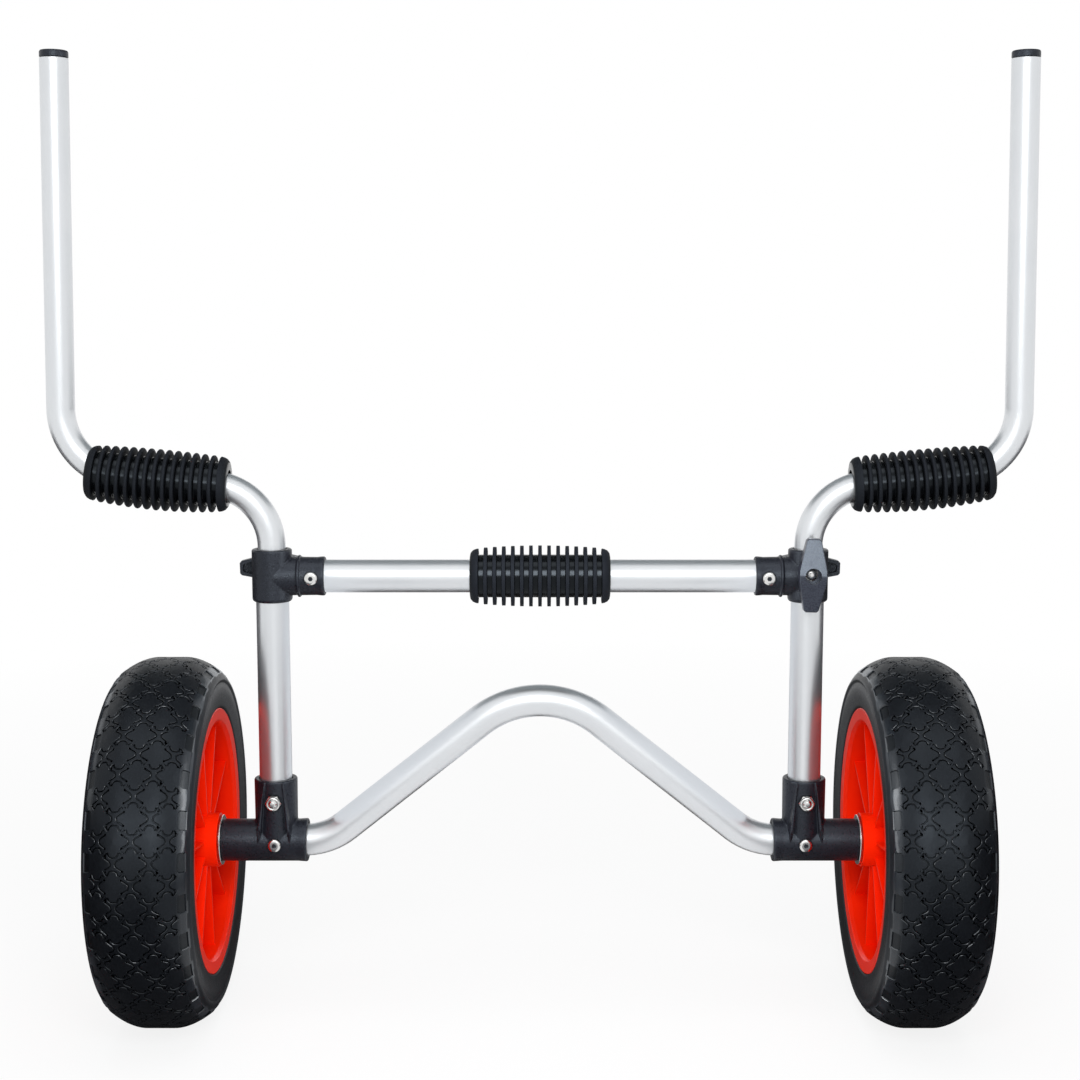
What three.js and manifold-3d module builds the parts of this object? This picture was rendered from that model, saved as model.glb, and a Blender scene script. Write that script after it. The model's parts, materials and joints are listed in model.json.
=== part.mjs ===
// Kayak cart: two wheels on an arched lower tube, two posts joined by a crossbar, and two
// crank arms that turn and slide in the posts and carry the hull between their uprights.
// Millimetres, +Z up. The origin is on the ground, midway between the wheels.
// Heights named "above the axle" are measured from the wheels' axis.

import * as THREE from 'three';
import { mergeVertices } from 'three/addons/utils/BufferGeometryUtils.js';
import Module from 'manifold-3d';

const wasm = await Module();
wasm.setup();

// General clearances
const seatGap = 0.3;
const turningGap = 0.5;
const overrun = 2;
const weldDistance = 0.001;

// Number of flat sides on round pieces
const wheelSides = 28;
const fittingSides = 16;
const bentTubeSides = 16;
const bentBoreSides = 8;
const gripSides = 12;
const smallSides = 10;
const hexSides = 6;
const wireSides = 6;

// Layout
const trackHalf = 263;
const wheelToPost = 75.6;
const crossbarHeight = 190;

// Tyre
const tyreRadius = 130;
const tyreShoulderRadius = 120;
const tyreShoulderHalf = 32.6;
const tyreBulgeRadius = 113.9;
const tyreBulgeHalf = 35.8;
const tyreRidgeRise = 0.7;
const crownPower = 1.8;
const crownFlatShare = 0.3;
const crownShares = [-1, -0.7, -0.3, 0.3, 0.7, 1];

// Rim
const rimSeatRadius = 86.5;
const rimFlangeHeight = 7;
const rimFlangeHalf = 33.8;
const rimFlangeThickness = 3;
const rimFlangeSlope = 0.7;
const rimLipInset = 1.5;
const rimBarrelWall = 4;
const rimLipDepth = 1.8;
const webThickness = 4;
const rimRibCount = 10;
const rimRibThickness = 2.2;
const rimRibInset = 6.8;
const rimRibPhase = 27;
const hubRadius = 18.9;
const hubHalf = 34.2;
const hubChamfer = 1;

// Axle and what runs on it
const axleRadius = 9.5;
const axleWall = 2.5;
const axleInnerInset = 15;
const bushWall = 2.2;
const bushLength = 25;
const washerRadius = 18.3;
const washerThickness = 3;
const clipWireRadius = 1.6;
const clipBend = 5;
const clipTail = 5;
const axleTail = 8;
const plugHead = 3;
const plugSpigot = 5;

// Frame tubes
const frameTubeRadius = 11.5;
const frameTubeWall = 1.5;
const archTubeRadius = 11.25;
const archTubeWall = 1.4;
const archFootReach = 36.4;
const archSlope = 38.5;
const archFootBend = 48;
const archTopBend = 68;
const archStepsPerBend = [4, 6, 4];

// Lower tee
const lowerTeeRadius = 14.9;
const lowerSocketTopRadius = 15.2;
const lowerSocketHeight = 45.6;
const lowerTeeInnerReach = 22.4;
const lowerTeeChamfer = 1.2;
const collarLength = 4;
const collarRise = 0.7;
const finTopOffset = 6.5;
const finFootOffset = 11.2;
const finThickness = 2.8;
const finFootRise = 3;
const finTopRise = 0.4;
const finFootHeight = 2;

// Upper tee
const upperSleeveRadius = 14;
const upperSleeveHalf = 19.2;
const upperSleeveLip = 4;
const upperSleeveRound = 2;
const upperBranchRadius = 13.5;
const upperBranchReach = 37.4;
const upperBranchChamfer = 1.4;
const beadReach = 19.2;
const beadHalf = 1.4;
const beadRise = 1.5;
const branchEndWall = 2.3;

// Crank arm
const crankTubeRadius = 9.7;
const crankTubeWall = 1.5;
const crankReach = 144.7;
const crankRise = 5.2;
const crankLean = 0.77;
const crankLowerBend = 43;
const crankUpperBend = 47;
const crankStepsPerBend = [6, 6];
const crankStandOff = 2;
const crankFootHeight = 60;
const uprightLength = 280;
const capHead = 4.6;
const capRound = 1.2;
const capSpigot = 12;
const guideHead = 4;
const guideSpigot = 12;

// Ribbed grips
const gripLength = 98;
const gripCoreRadius = 15;
const gripFlangeRadius = 19.3;
const gripFlangeThickness = 6;
const gripFlangeRound = 4.2;
const gripRibCount = 13;
const gripRibThickness = 2.66;
const gripRibEndRadius = 19.6;
const gripRibMiddleRadius = 21.5;
const gripTurn = 5;
const gripReach = 77.8;

// Wing knob, its stud and what they press on
const knobAboveCrossbar = 3.5;
const knobHalfLength = 25.5;
const knobHalfWidth = 9.5;
const knobTipHalfWidth = 4.9;
const knobWaistHalf = 4;
const knobTipCut = 1.6;
const knobDepth = 10.5;
const knobTipDepth = 7.5;
const knobRidgeHalf = 3;
const knobWall = 2;
const knobHubRadius = 7;
const knobRecessRadius = 5.5;
const knobRecessDepth = 3.5;
const knobStandOff = 0.5;
const studRadius = 4;
const studEndDepth = 1.5;
const bossRadius = 8.5;
const bossHeight = 3.5;
const insertRadius = 6;
const padRadius = 3.8;
const padLength = 2.4;
const frontKnobTilt = 1.7;
const rearKnobTilt = 1.5;

// Screws, bolts and nuts
const crossbarScrew = { shank: 2.5, head: 4.75, headHeight: 2.75, socket: 1.73, socketDepth: 1.6 };
const postBolt = { shank: 3, head: 5.25, headHeight: 3.3, socket: 2.3, socketDepth: 2 };
const smallNut = { corner: 4.62, height: 5 };
const postNut = { corner: 5.77, height: 6 };
const screwHoleGap = 0.4;
const boltEnd = 1.5;
const headSeatGap = 0.5;
const crossbarScrewReach = 28.5;
const postBoltHeight = 30.9;

// Finishes
const finishes = {
  aluminium: { color: '#c8cbd0', roughness: 0.36, metalness: 0.9 },
  steel: { color: '#b9b9b6', roughness: 0.25, metalness: 1 },
  charcoal: { color: '#24272c', roughness: 0.6, metalness: 0 },
  gripRubber: { color: '#17181b', roughness: 0.7, metalness: 0 },
  tyreRubber: { color: '#1b1c1e', roughness: 0.62, metalness: 0 },
  redPlastic: { color: '#e01c08', roughness: 0.35, metalness: 0 },
  nylon: { color: '#dcdcd6', roughness: 0.5, metalness: 0 },
};

// Sizes that follow from the ones above
const degree = Math.PI / 180;
const wheelFlats = 1 / Math.cos(Math.PI / wheelSides);
const postOffset = trackHalf - wheelToPost;
const rimFlangeRadius = rimSeatRadius + rimFlangeHeight;
const rimLipRadius = rimSeatRadius - rimLipInset;
const rimBarrelInnerRadius = rimSeatRadius - rimBarrelWall;
const archCorner = postOffset - archFootReach;
const sleeveOuterReach = wheelToPost - hubHalf - washerThickness - 2 * seatGap;
const outerWasherStart = wheelToPost + hubHalf + seatGap;
const clipReach = outerWasherStart + washerThickness + seatGap + clipWireRadius;
const axleEnd = clipReach + axleTail;
const axleStart = -axleInnerInset;
const teeTop = crossbarHeight + upperSleeveHalf;
const postFoot = lowerTeeRadius + seatGap;
const postTop = teeTop - upperSleeveLip - seatGap;
const crankTurn = 90 - crankRise;
const crankCornerHeight = teeTop + crankStandOff + crankLowerBend * Math.tan(crankTurn * degree / 2);
const crankElbowHeight = crankCornerHeight + crankReach * Math.tan(crankRise * degree);
const gripPitch = (gripLength - 2 * gripFlangeThickness + gripRibThickness) / (gripRibCount + 1);
const crossbarEnd = postOffset - frameTubeRadius - seatGap - branchEndWall - seatGap;
const knobHeight = crossbarHeight + knobAboveCrossbar;
const bossEnd = upperSleeveRadius + bossHeight;

const up = new THREE.Vector3(0, 0, 1);
const cart = new THREE.Group();
cart.position.z = tyreRadius;

// The radius of a faceted hole whose flats clear a round piece by the given gap
function holeRadius(radius, gap, sides) {
  return (radius + gap) / Math.cos(Math.PI / sides);
}

// A closed solid from any closed geometry
function toSolid(geometry) {
  const bare = new THREE.BufferGeometry();
  bare.setAttribute('position', geometry.getAttribute('position').clone());
  if (geometry.index) bare.setIndex(geometry.index.clone());
  const merged = mergeVertices(bare, weldDistance);
  const corners = [];
  for (let i = 0; i < merged.index.count; i += 3) {
    const [a, b, c] = [0, 1, 2].map((k) => merged.index.getX(i + k));
    if (a !== b && b !== c && c !== a) corners.push(a, b, c);
  }
  const vertProperties = new Float32Array(merged.getAttribute('position').array);
  const triVerts = new Uint32Array(corners);
  return new wasm.Manifold(new wasm.Mesh({ numProp: 3, vertProperties, triVerts }));
}

function toGeometry(solid) {
  const { vertProperties, triVerts } = solid.getMesh();
  const geometry = new THREE.BufferGeometry();
  geometry.setAttribute('position', new THREE.BufferAttribute(vertProperties, 3));
  geometry.setIndex(new THREE.BufferAttribute(triVerts, 1));
  return geometry;
}

function joined(...geometries) {
  const solids = geometries.map(toSolid);
  return toGeometry(solids.reduce((sum, solid) => sum.add(solid)));
}

function cut(geometry, ...tools) {
  const solids = tools.map(toSolid);
  return toGeometry(solids.reduce((rest, tool) => rest.subtract(tool), toSolid(geometry)));
}

function crossed(first, second) {
  return toGeometry(toSolid(first).intersect(toSolid(second)));
}

// The same shape seen in a mirror across X, with its faces still pointing out
function mirrored(geometry) {
  const copy = geometry.clone();
  copy.scale(-1, 1, 1);
  const order = copy.index ?? new THREE.BufferAttribute(new Uint32Array(copy.getAttribute('position').count), 1);
  if (!copy.index) {
    for (let i = 0; i < order.count; i += 1) order.setX(i, i);
    copy.setIndex(order);
  }
  for (let i = 0; i < order.count; i += 3) {
    const second = order.getX(i + 1);
    order.setX(i + 1, order.getX(i + 2));
    order.setX(i + 2, second);
  }
  return copy;
}

// Points are [radius, distance along the axis], counter-clockwise, from axis to axis or closed
function revolve(points, sides, axis) {
  const outline = points.map(([radius, along]) => new THREE.Vector2(radius, along));
  const geometry = new THREE.LatheGeometry(outline, sides, Math.PI / sides);
  if (axis === 'x') geometry.rotateZ(-Math.PI / 2);
  if (axis === 'z') geometry.rotateX(Math.PI / 2);
  return geometry;
}

function rod(radius, from, to, sides, axis) {
  return revolve([[0, from], [radius, from], [radius, to], [0, to]], sides, axis);
}

function pipe(radius, bore, from, to, sides, axis) {
  const corners = [[bore, from], [radius, from], [radius, to], [bore, to], [bore, from]];
  return revolve(corners, sides, axis);
}

// A flat outline pushed along +Z by the given depth, starting at the given height
function plate(outline, from, to) {
  const shape = new THREE.Shape(outline.map(([x, y]) => new THREE.Vector2(x, y)));
  const geometry = new THREE.ExtrudeGeometry(shape, { depth: to - from, bevelEnabled: false });
  return geometry.translate(0, 0, from);
}

// A tube's centre line: straight runs joined by round bends, as stations with their directions
class TubeRoute extends THREE.Curve {
  constructor(corners, bends, stepsPerBend) {
    super();
    this.stations = [];
    const points = corners.map(([x, z]) => new THREE.Vector3(x, 0, z));
    const runs = points.slice(1).map((point, i) => point.clone().sub(points[i]).normalize());
    this.addStation(points[0], runs[0]);
    bends.forEach((radius, i) => this.addBend(points[i + 1], runs[i], runs[i + 1], radius, stepsPerBend[i]));
    this.addStation(points.at(-1), runs.at(-1));
  }

  addStation(point, direction) {
    this.stations.push({ point: point.clone(), direction: direction.clone().normalize() });
  }

  addBend(corner, incoming, outgoing, radius, steps) {
    const turn = incoming.angleTo(outgoing);
    const inward = outgoing.clone().addScaledVector(incoming, -incoming.dot(outgoing)).normalize();
    const start = corner.clone().addScaledVector(incoming, -radius * Math.tan(turn / 2));
    for (let i = 0; i <= steps; i += 1) {
      const angle = turn * i / steps;
      const point = start.clone().addScaledVector(incoming, radius * Math.sin(angle));
      point.addScaledVector(inward, radius * (1 - Math.cos(angle)));
      const direction = incoming.clone().multiplyScalar(Math.cos(angle));
      this.addStation(point, direction.addScaledVector(inward, Math.sin(angle)));
    }
  }

  between(t, key) {
    const last = this.stations.length - 1;
    const low = Math.min(Math.floor(t * last + 1e-9), last - 1);
    return this.stations[low][key].clone().lerp(this.stations[low + 1][key], t * last - low);
  }

  getPoint(t, target = new THREE.Vector3()) {
    return target.copy(this.between(t, 'point'));
  }

  getTangent(t, target = new THREE.Vector3()) {
    return target.copy(this.between(t, 'direction')).normalize();
  }

  getUtoTmapping(u) {
    return u;
  }
}

// A solid or hollow bar that follows a route
function barAlong(route, radius, sides, bore = 0, boreSides = sides) {
  const circle = (size, count) => Array.from({ length: count }, (_, i) => {
    const angle = 2 * Math.PI * i / count;
    return new THREE.Vector2(size * Math.cos(angle), size * Math.sin(angle));
  });
  const shape = new THREE.Shape(circle(radius, sides));
  if (bore > 0) shape.holes.push(new THREE.Path(circle(bore, boreSides)));
  const steps = route.stations.length - 1;
  return new THREE.ExtrudeGeometry(shape, { extrudePath: route, steps, bevelEnabled: false });
}

function addPiece(group, name, geometry, finish) {
  const mesh = new THREE.Mesh(geometry, new THREE.MeshStandardMaterial(finishes[finish]));
  mesh.name = name;
  group.add(mesh);
  return mesh;
}

// Wheel, built round its own axis along X with the origin at its centre
function tyre() {
  const crown = crownShares.map((share) => {
    const curved = Math.max(0, Math.abs(share) - crownFlatShare) / (1 - crownFlatShare);
    const drop = (tyreRadius - tyreShoulderRadius) * curved ** crownPower;
    return [tyreRadius - drop, share * tyreShoulderHalf];
  });
  const beadRadius = rimFlangeRadius + seatGap;
  const seatRadius = rimSeatRadius + seatGap;
  const channelHalf = rimFlangeHalf - rimFlangeThickness - seatGap;
  const wallMiddle = (tyreBulgeRadius + beadRadius) / 2;
  const wallHalf = (tyreBulgeHalf + rimFlangeHalf) / 2 + tyreRidgeRise;
  const side = [
    [tyreBulgeRadius, tyreBulgeHalf],
    [wallMiddle, wallHalf],
    [beadRadius, rimFlangeHalf],
    [beadRadius, channelHalf],
    [seatRadius, channelHalf],
  ];
  const lowSide = side.map(([radius, along]) => [radius, -along]).reverse();
  const outline = [...lowSide, ...crown, ...side, lowSide[0]];
  return revolve(outline.map(([radius, along]) => [radius * wheelFlats, along]), wheelSides, 'x');
}

function rim() {
  const lipHalf = rimFlangeHalf - rimFlangeSlope;
  const channelHalf = rimFlangeHalf - rimFlangeThickness;
  const bore = axleRadius + turningGap + bushWall + seatGap;
  const side = [
    [bore, hubHalf],
    [hubRadius - hubChamfer, hubHalf],
    [hubRadius, hubHalf - hubChamfer],
    [hubRadius, webThickness / 2],
    [rimBarrelInnerRadius, webThickness / 2],
    [rimLipRadius - rimFlangeSlope, lipHalf - rimLipDepth],
    [rimLipRadius, lipHalf],
    [rimFlangeRadius, rimFlangeHalf],
    [rimFlangeRadius, channelHalf],
    [rimSeatRadius, channelHalf],
  ].map(([radius, along]) => [radius * wheelFlats, along]);
  const lowSide = side.map(([radius, along]) => [radius, -along]);
  const outline = [...side.toReversed(), ...lowSide, side.at(-1)];
  const ribs = Array.from({ length: rimRibCount }, (_, i) => rimRib(rimRibPhase + 360 * i / rimRibCount));
  return joined(revolve(outline, wheelSides, 'x'), ...ribs);
}

// One radial rib, straight through the web, from inside the hub's wall into the barrel's wall
function rimRib(angle) {
  const inner = hubRadius - hubChamfer;
  const outer = (rimBarrelInnerRadius + rimSeatRadius) / 2;
  const length = 2 * (rimFlangeHalf - rimRibInset);
  const rib = new THREE.BoxGeometry(length, rimRibThickness, outer - inner);
  rib.translate(0, 0, (outer + inner) / 2);
  return rib.rotateX(-angle * degree);
}

function bush() {
  const bore = holeRadius(axleRadius, turningGap / 2, fittingSides);
  return pipe(axleRadius + turningGap + bushWall, bore, hubHalf - bushLength, hubHalf, fittingSides, 'x');
}

// Frame pieces, built round the post's axis with the origin at the height of the axle.
// +X points out of the cart, so that the left side is the same shape mirrored.
function crossDrill(radius, along, height) {
  const reach = lowerTeeRadius + finFootRise + overrun;
  const hole = rod(holeRadius(radius, screwHoleGap, smallSides), -reach, reach, smallSides, 'y');
  return hole.translate(along, 0, height);
}

// A flat round seat sunk into a round wall, deep enough for the whole head or nut
function seatTool(wallRadius, headRadius, side, along, height) {
  const radius = holeRadius(headRadius, headSeatGap, smallSides);
  const floor = seatDepth(wallRadius, radius);
  const reach = wallRadius + finFootRise + overrun;
  const ends = side < 0 ? [-reach, -floor] : [floor, reach];
  return rod(radius, ...ends, smallSides, 'y').translate(along, 0, height);
}

function seatDepth(wallRadius, radius) {
  return Math.sqrt(wallRadius ** 2 - radius ** 2) * Math.cos(Math.PI / fittingSides);
}

// How far from the wall's axis the underside of a head or nut lies
function headSeat(wallRadius, headRadius) {
  return seatDepth(wallRadius, holeRadius(headRadius, headSeatGap, smallSides)) + seatGap;
}

function fin(side, end) {
  const inner = frameTubeRadius + seatGap;
  const footReach = lowerTeeRadius + finFootRise;
  const topReach = lowerSocketTopRadius + finTopRise;
  const length = lowerSocketHeight - finFootHeight - lowerTeeChamfer;
  const outline = [
    [inner, -finFootHeight],
    [footReach - finTopRise, -finFootHeight],
    [footReach, finFootHeight],
    [topReach, length],
    [inner, length],
  ];
  const splay = Math.atan((finFootOffset - finTopOffset) / length);
  const geometry = plate(outline, -finThickness / 2, finThickness / 2);
  geometry.rotateX(Math.PI / 2).rotateZ(Math.PI / 2);
  if (end < 0) geometry.rotateZ(Math.PI);
  geometry.rotateY(-side * splay);
  return geometry.translate(side * finFootOffset, 0, finFootHeight);
}

function lowerTee() {
  const chamfer = lowerTeeChamfer;
  const collar = lowerTeeRadius + collarRise;
  const top = lowerSocketHeight;
  const socket = revolve([
    [0, 0],
    [lowerTeeRadius, 0],
    [lowerSocketTopRadius, top - chamfer / 2],
    [lowerSocketTopRadius - chamfer / 2, top],
    [0, top],
  ], fittingSides, 'z');
  const sleeve = revolve([
    [0, -lowerTeeInnerReach],
    [collar - chamfer, -lowerTeeInnerReach],
    [collar, chamfer - lowerTeeInnerReach],
    [collar, collarLength - lowerTeeInnerReach],
    [lowerTeeRadius, collarLength + collarRise - lowerTeeInnerReach],
    [lowerTeeRadius, sleeveOuterReach - chamfer],
    [lowerTeeRadius - chamfer, sleeveOuterReach],
    [0, sleeveOuterReach],
  ], fittingSides, 'x');
  const fins = [-1, 1].flatMap((side) => [-1, 1].map((end) => fin(side, end)));
  const body = joined(socket, sleeve, ...fins);
  const postBore = holeRadius(frameTubeRadius, seatGap, fittingSides);
  const tubeBore = holeRadius(archTubeRadius, seatGap, fittingSides);
  return cut(
    body,
    rod(postBore, lowerTeeRadius, top + overrun, fittingSides, 'z'),
    rod(tubeBore, -lowerTeeInnerReach - overrun, sleeveOuterReach + overrun, fittingSides, 'x'),
    crossDrill(postBolt.shank, 0, postBoltHeight),
    crossDrill(crossbarScrew.shank, 0, 0),
    seatTool(lowerTeeRadius, postNut.corner, -1, 0, postBoltHeight),
    seatTool(lowerTeeRadius, postBolt.head, 1, 0, postBoltHeight),
    seatTool(lowerTeeRadius, crossbarScrew.head, -1, 0, 0),
    seatTool(lowerTeeRadius, smallNut.corner, 1, 0, 0),
  );
}

function upperTee(knobSides) {
  const bottom = crossbarHeight - upperSleeveHalf;
  const round = upperSleeveRound;
  const sleeve = revolve([
    [0, bottom],
    [upperSleeveRadius - round, bottom],
    [upperSleeveRadius - round * (1 - Math.SQRT1_2), bottom + round * (1 - Math.SQRT1_2)],
    [upperSleeveRadius, bottom + round],
    [upperSleeveRadius, teeTop - round / 2],
    [upperSleeveRadius - round / 2, teeTop],
    [0, teeTop],
  ], fittingSides, 'z');
  const bosses = knobSides.map((end) => knobBoss(end));
  const body = joined(sleeve, branch(), ...bosses);
  const branchBore = holeRadius(frameTubeRadius, seatGap, fittingSides);
  const branchBoreEnd = frameTubeRadius + seatGap + branchEndWall;
  const screw = -crossbarScrewReach;
  return cut(
    body,
    rod(branchBore, bottom - overrun, teeTop - upperSleeveLip, fittingSides, 'z'),
    rod(holeRadius(crankTubeRadius, turningGap, fittingSides), bottom, teeTop + overrun, fittingSides, 'z'),
    rod(branchBore, -upperBranchReach - overrun, -branchBoreEnd, fittingSides, 'x').translate(0, 0, crossbarHeight),
    crossDrill(crossbarScrew.shank, screw, crossbarHeight),
    seatTool(upperBranchRadius, crossbarScrew.head, -1, screw, crossbarHeight),
    seatTool(upperBranchRadius, smallNut.corner, 1, screw, crossbarHeight),
    ...knobSides.map((end) => studHole(end, holeRadius(insertRadius, seatGap, fittingSides))),
  );
}

// The tee's arm towards the crossbar, with its raised bead and chamfered mouth
function branch() {
  const radius = upperBranchRadius;
  const mouth = -upperBranchReach;
  const chamfer = upperBranchChamfer;
  return revolve([
    [0, mouth],
    [radius - chamfer, mouth],
    [radius, mouth + chamfer],
    [radius, -beadReach - beadHalf],
    [radius + beadRise, -beadReach - beadHalf / 2],
    [radius + beadRise, -beadReach + beadHalf / 2],
    [radius, -beadReach + beadHalf],
    [radius, 0],
    [0, 0],
  ], fittingSides, 'x').translate(0, 0, crossbarHeight);
}

// end is -1 for the front of the post and +1 for its back
function acrossPost(geometry, end) {
  if (end < 0) geometry.rotateZ(Math.PI);
  return geometry.translate(0, 0, knobHeight);
}

function knobBoss(end) {
  return acrossPost(rod(bossRadius, 0, bossEnd, fittingSides, 'y'), end);
}

function studHole(end, radius) {
  return acrossPost(rod(radius, 0, bossEnd + overrun, fittingSides, 'y'), end);
}

function postTube(knobSides) {
  const tube = pipe(frameTubeRadius, frameTubeRadius - frameTubeWall, postFoot, postTop, fittingSides, 'z');
  const padHole = holeRadius(padRadius, screwHoleGap, smallSides);
  const holes = knobSides.map((end) => acrossPost(rod(padHole, 0, bossEnd, smallSides, 'y'), end));
  return cut(tube, crossDrill(postBolt.shank, 0, postBoltHeight), ...holes);
}

function axle() {
  const tube = pipe(axleRadius, axleRadius - axleWall, axleStart, axleEnd, fittingSides, 'x');
  const clipHole = rod(holeRadius(clipWireRadius, screwHoleGap, smallSides), -tyreRadius, tyreRadius, smallSides, 'z');
  return cut(tube, crossDrill(crossbarScrew.shank, 0, 0), clipHole.translate(clipReach, 0, 0));
}

function washer(start) {
  const bore = holeRadius(axleRadius, turningGap / 2, fittingSides);
  return pipe(washerRadius, bore, start, start + washerThickness, fittingSides, 'x');
}

// Spring clip: one leg through the axle, a loop above it, and a leg that hugs the outside
function springClip() {
  const hug = axleRadius + clipWireRadius + seatGap;
  const middle = hug / 2;
  const top = hug + clipBend;
  const points = [
    [0, -hug - clipTail / 2],
    [0, 0],
    [0, hug],
    [middle - clipBend, top],
    [middle, top + clipBend],
    [middle + clipBend, top],
    [hug - clipWireRadius, hug * 0.93],
    [hug, 0],
    [hug * 0.93, -clipBend],
    [hug + clipWireRadius, -hug],
  ].map(([y, z]) => new THREE.Vector3(clipReach, y, z));
  const route = new THREE.CatmullRomCurve3(points);
  const section = Array.from({ length: wireSides }, (_, i) => {
    const angle = 2 * Math.PI * i / wireSides;
    return new THREE.Vector2(clipWireRadius * Math.cos(angle), clipWireRadius * Math.sin(angle));
  });
  const steps = 2 * points.length;
  return new THREE.ExtrudeGeometry(new THREE.Shape(section), { extrudePath: route, steps, bevelEnabled: false });
}

function axlePlug() {
  const spigot = axleRadius - axleWall - seatGap;
  const start = axleEnd + seatGap;
  return revolve([
    [0, start - plugSpigot],
    [spigot, start - plugSpigot],
    [spigot, start],
    [axleRadius, start],
    [axleRadius, start + plugHead - capRound],
    [axleRadius - capRound, start + plugHead],
    [0, start + plugHead],
  ], fittingSides, 'x');
}

// Screw along +Y from the front, with its head's underside at the seat and its end past the nut
function buttonScrew(size, wallRadius, nut) {
  const seat = headSeat(wallRadius, size.head);
  const nutSeat = headSeat(wallRadius, nut.corner);
  const tip = nutSeat + nut.height + boltEnd;
  const outline = [
    [0, -tip],
    [size.shank, -tip],
    [size.shank, seat],
    [size.head, seat],
    [size.head, seat + size.headHeight / 4],
    [size.head * 0.86, seat + size.headHeight * 0.7],
    [size.head * 0.5, seat + size.headHeight],
    [0, seat + size.headHeight],
  ];
  const socket = rod(size.socket, seat + size.headHeight - size.socketDepth, tip + overrun, hexSides, 'y');
  return cut(revolve(outline, smallSides, 'y'), socket).rotateZ(Math.PI);
}

function hexNut(nut, screw, wallRadius) {
  const seat = headSeat(wallRadius, nut.corner);
  const block = revolve([
    [0, seat],
    [nut.corner, seat],
    [nut.corner, seat + nut.height * 0.7],
    [nut.corner * 0.8, seat + nut.height],
    [0, seat + nut.height],
  ], hexSides, 'y');
  const hole = rod(holeRadius(screw.shank, seatGap, smallSides), 0, seat + nut.height + overrun, smallSides, 'y');
  return cut(block, hole);
}

// Crank arm, seen from its post: up, outwards over the grip, and up again
function crankRoute() {
  const lean = crankLean * degree;
  const top = [
    crankReach - uprightLength * Math.sin(lean),
    crankElbowHeight + uprightLength * Math.cos(lean),
  ];
  const corners = [[0, crankFootHeight], [0, crankCornerHeight], [crankReach, crankElbowHeight], top];
  return new TubeRoute(corners, [crankLowerBend, crankUpperBend], crankStepsPerBend);
}

function crankTube() {
  return barAlong(crankRoute(), crankTubeRadius, bentTubeSides, crankTubeRadius - crankTubeWall, bentBoreSides);
}

// Built along +Z from the tube's end, then set on the leaning upright
function crankCap() {
  const spigot = (crankTubeRadius - crankTubeWall) * Math.cos(Math.PI / bentBoreSides) - seatGap;
  const cap = revolve([
    [0, seatGap - capSpigot],
    [spigot, seatGap - capSpigot],
    [spigot, seatGap],
    [crankTubeRadius, seatGap],
    [crankTubeRadius, seatGap + capHead - capRound],
    [crankTubeRadius - capRound, seatGap + capHead],
    [0, seatGap + capHead],
  ], fittingSides, 'z');
  const end = crankRoute().stations.at(-1);
  const turn = new THREE.Quaternion().setFromUnitVectors(up, end.direction);
  return cap.applyQuaternion(turn).translate(end.point.x, end.point.y, end.point.z);
}

// Nylon guide on which the crank's foot turns inside the post
function crankGuide() {
  const spigot = (crankTubeRadius - crankTubeWall) * Math.cos(Math.PI / bentBoreSides) - seatGap;
  const top = crankFootHeight - seatGap;
  return revolve([
    [0, top - guideHead],
    [crankTubeRadius, top - guideHead],
    [crankTubeRadius, top],
    [spigot, top],
    [spigot, top + guideSpigot],
    [0, top + guideSpigot],
  ], fittingSides, 'z');
}

// Ribbed grip along Y before it is bent: two rounded end flanges and ribs that swell to the middle
function gripBlank() {
  const half = gripLength / 2;
  const shoulder = half - gripFlangeThickness;
  const flangeEnd = [0, 0.35, 0.7, 1].map((share) => {
    const angle = share * Math.PI / 2;
    const radius = gripFlangeRadius - gripFlangeRound * (1 - Math.sin(angle));
    return [radius, half - gripFlangeRound * (1 - Math.cos(angle))];
  });
  const ribs = Array.from({ length: gripRibCount }, (_, i) => {
    const middle = (i - (gripRibCount - 1) / 2) * gripPitch;
    const swell = 1 - (middle / shoulder) ** 2;
    const radius = gripRibEndRadius + (gripRibMiddleRadius - gripRibEndRadius) * swell;
    const [low, high] = [middle - gripRibThickness / 2, middle + gripRibThickness / 2];
    return [[gripCoreRadius, low], [radius, low], [radius, high], [gripCoreRadius, high]];
  }).flat();
  const high = [[gripCoreRadius, shoulder], [gripFlangeRadius, shoulder], ...flangeEnd.reverse(), [0, half]];
  const low = high.map(([radius, along]) => [radius, -along]).reverse();
  return revolve([...low, ...ribs, ...high], gripSides, 'y');
}

function crankGrip() {
  const grip = gripBlank();
  const bend = gripTurn * degree / gripLength;
  const start = crankRise * degree;
  const centre = new THREE.Vector3(gripReach, 0, crankCornerHeight + gripReach * Math.tan(start));
  const place = grip.getAttribute('position');
  for (let i = 0; i < place.count; i += 1) {
    const slope = start + bend * place.getY(i);
    const inPlane = place.getZ(i);
    const x = centre.x + (Math.sin(slope) - Math.sin(start)) / bend - inPlane * Math.sin(slope);
    const z = centre.z - (Math.cos(slope) - Math.cos(start)) / bend + inPlane * Math.cos(slope);
    place.setXYZ(i, x, -place.getX(i), z);
  }
  return cut(grip, barAlong(crankRoute(), crankTubeRadius + seatGap, bentTubeSides));
}

function crossbarGrip() {
  const bore = holeRadius(frameTubeRadius, seatGap, fittingSides);
  const reach = gripLength / 2 + overrun;
  return cut(gripBlank().rotateZ(-Math.PI / 2), rod(bore, -reach, reach, fittingSides, 'x'));
}

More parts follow.
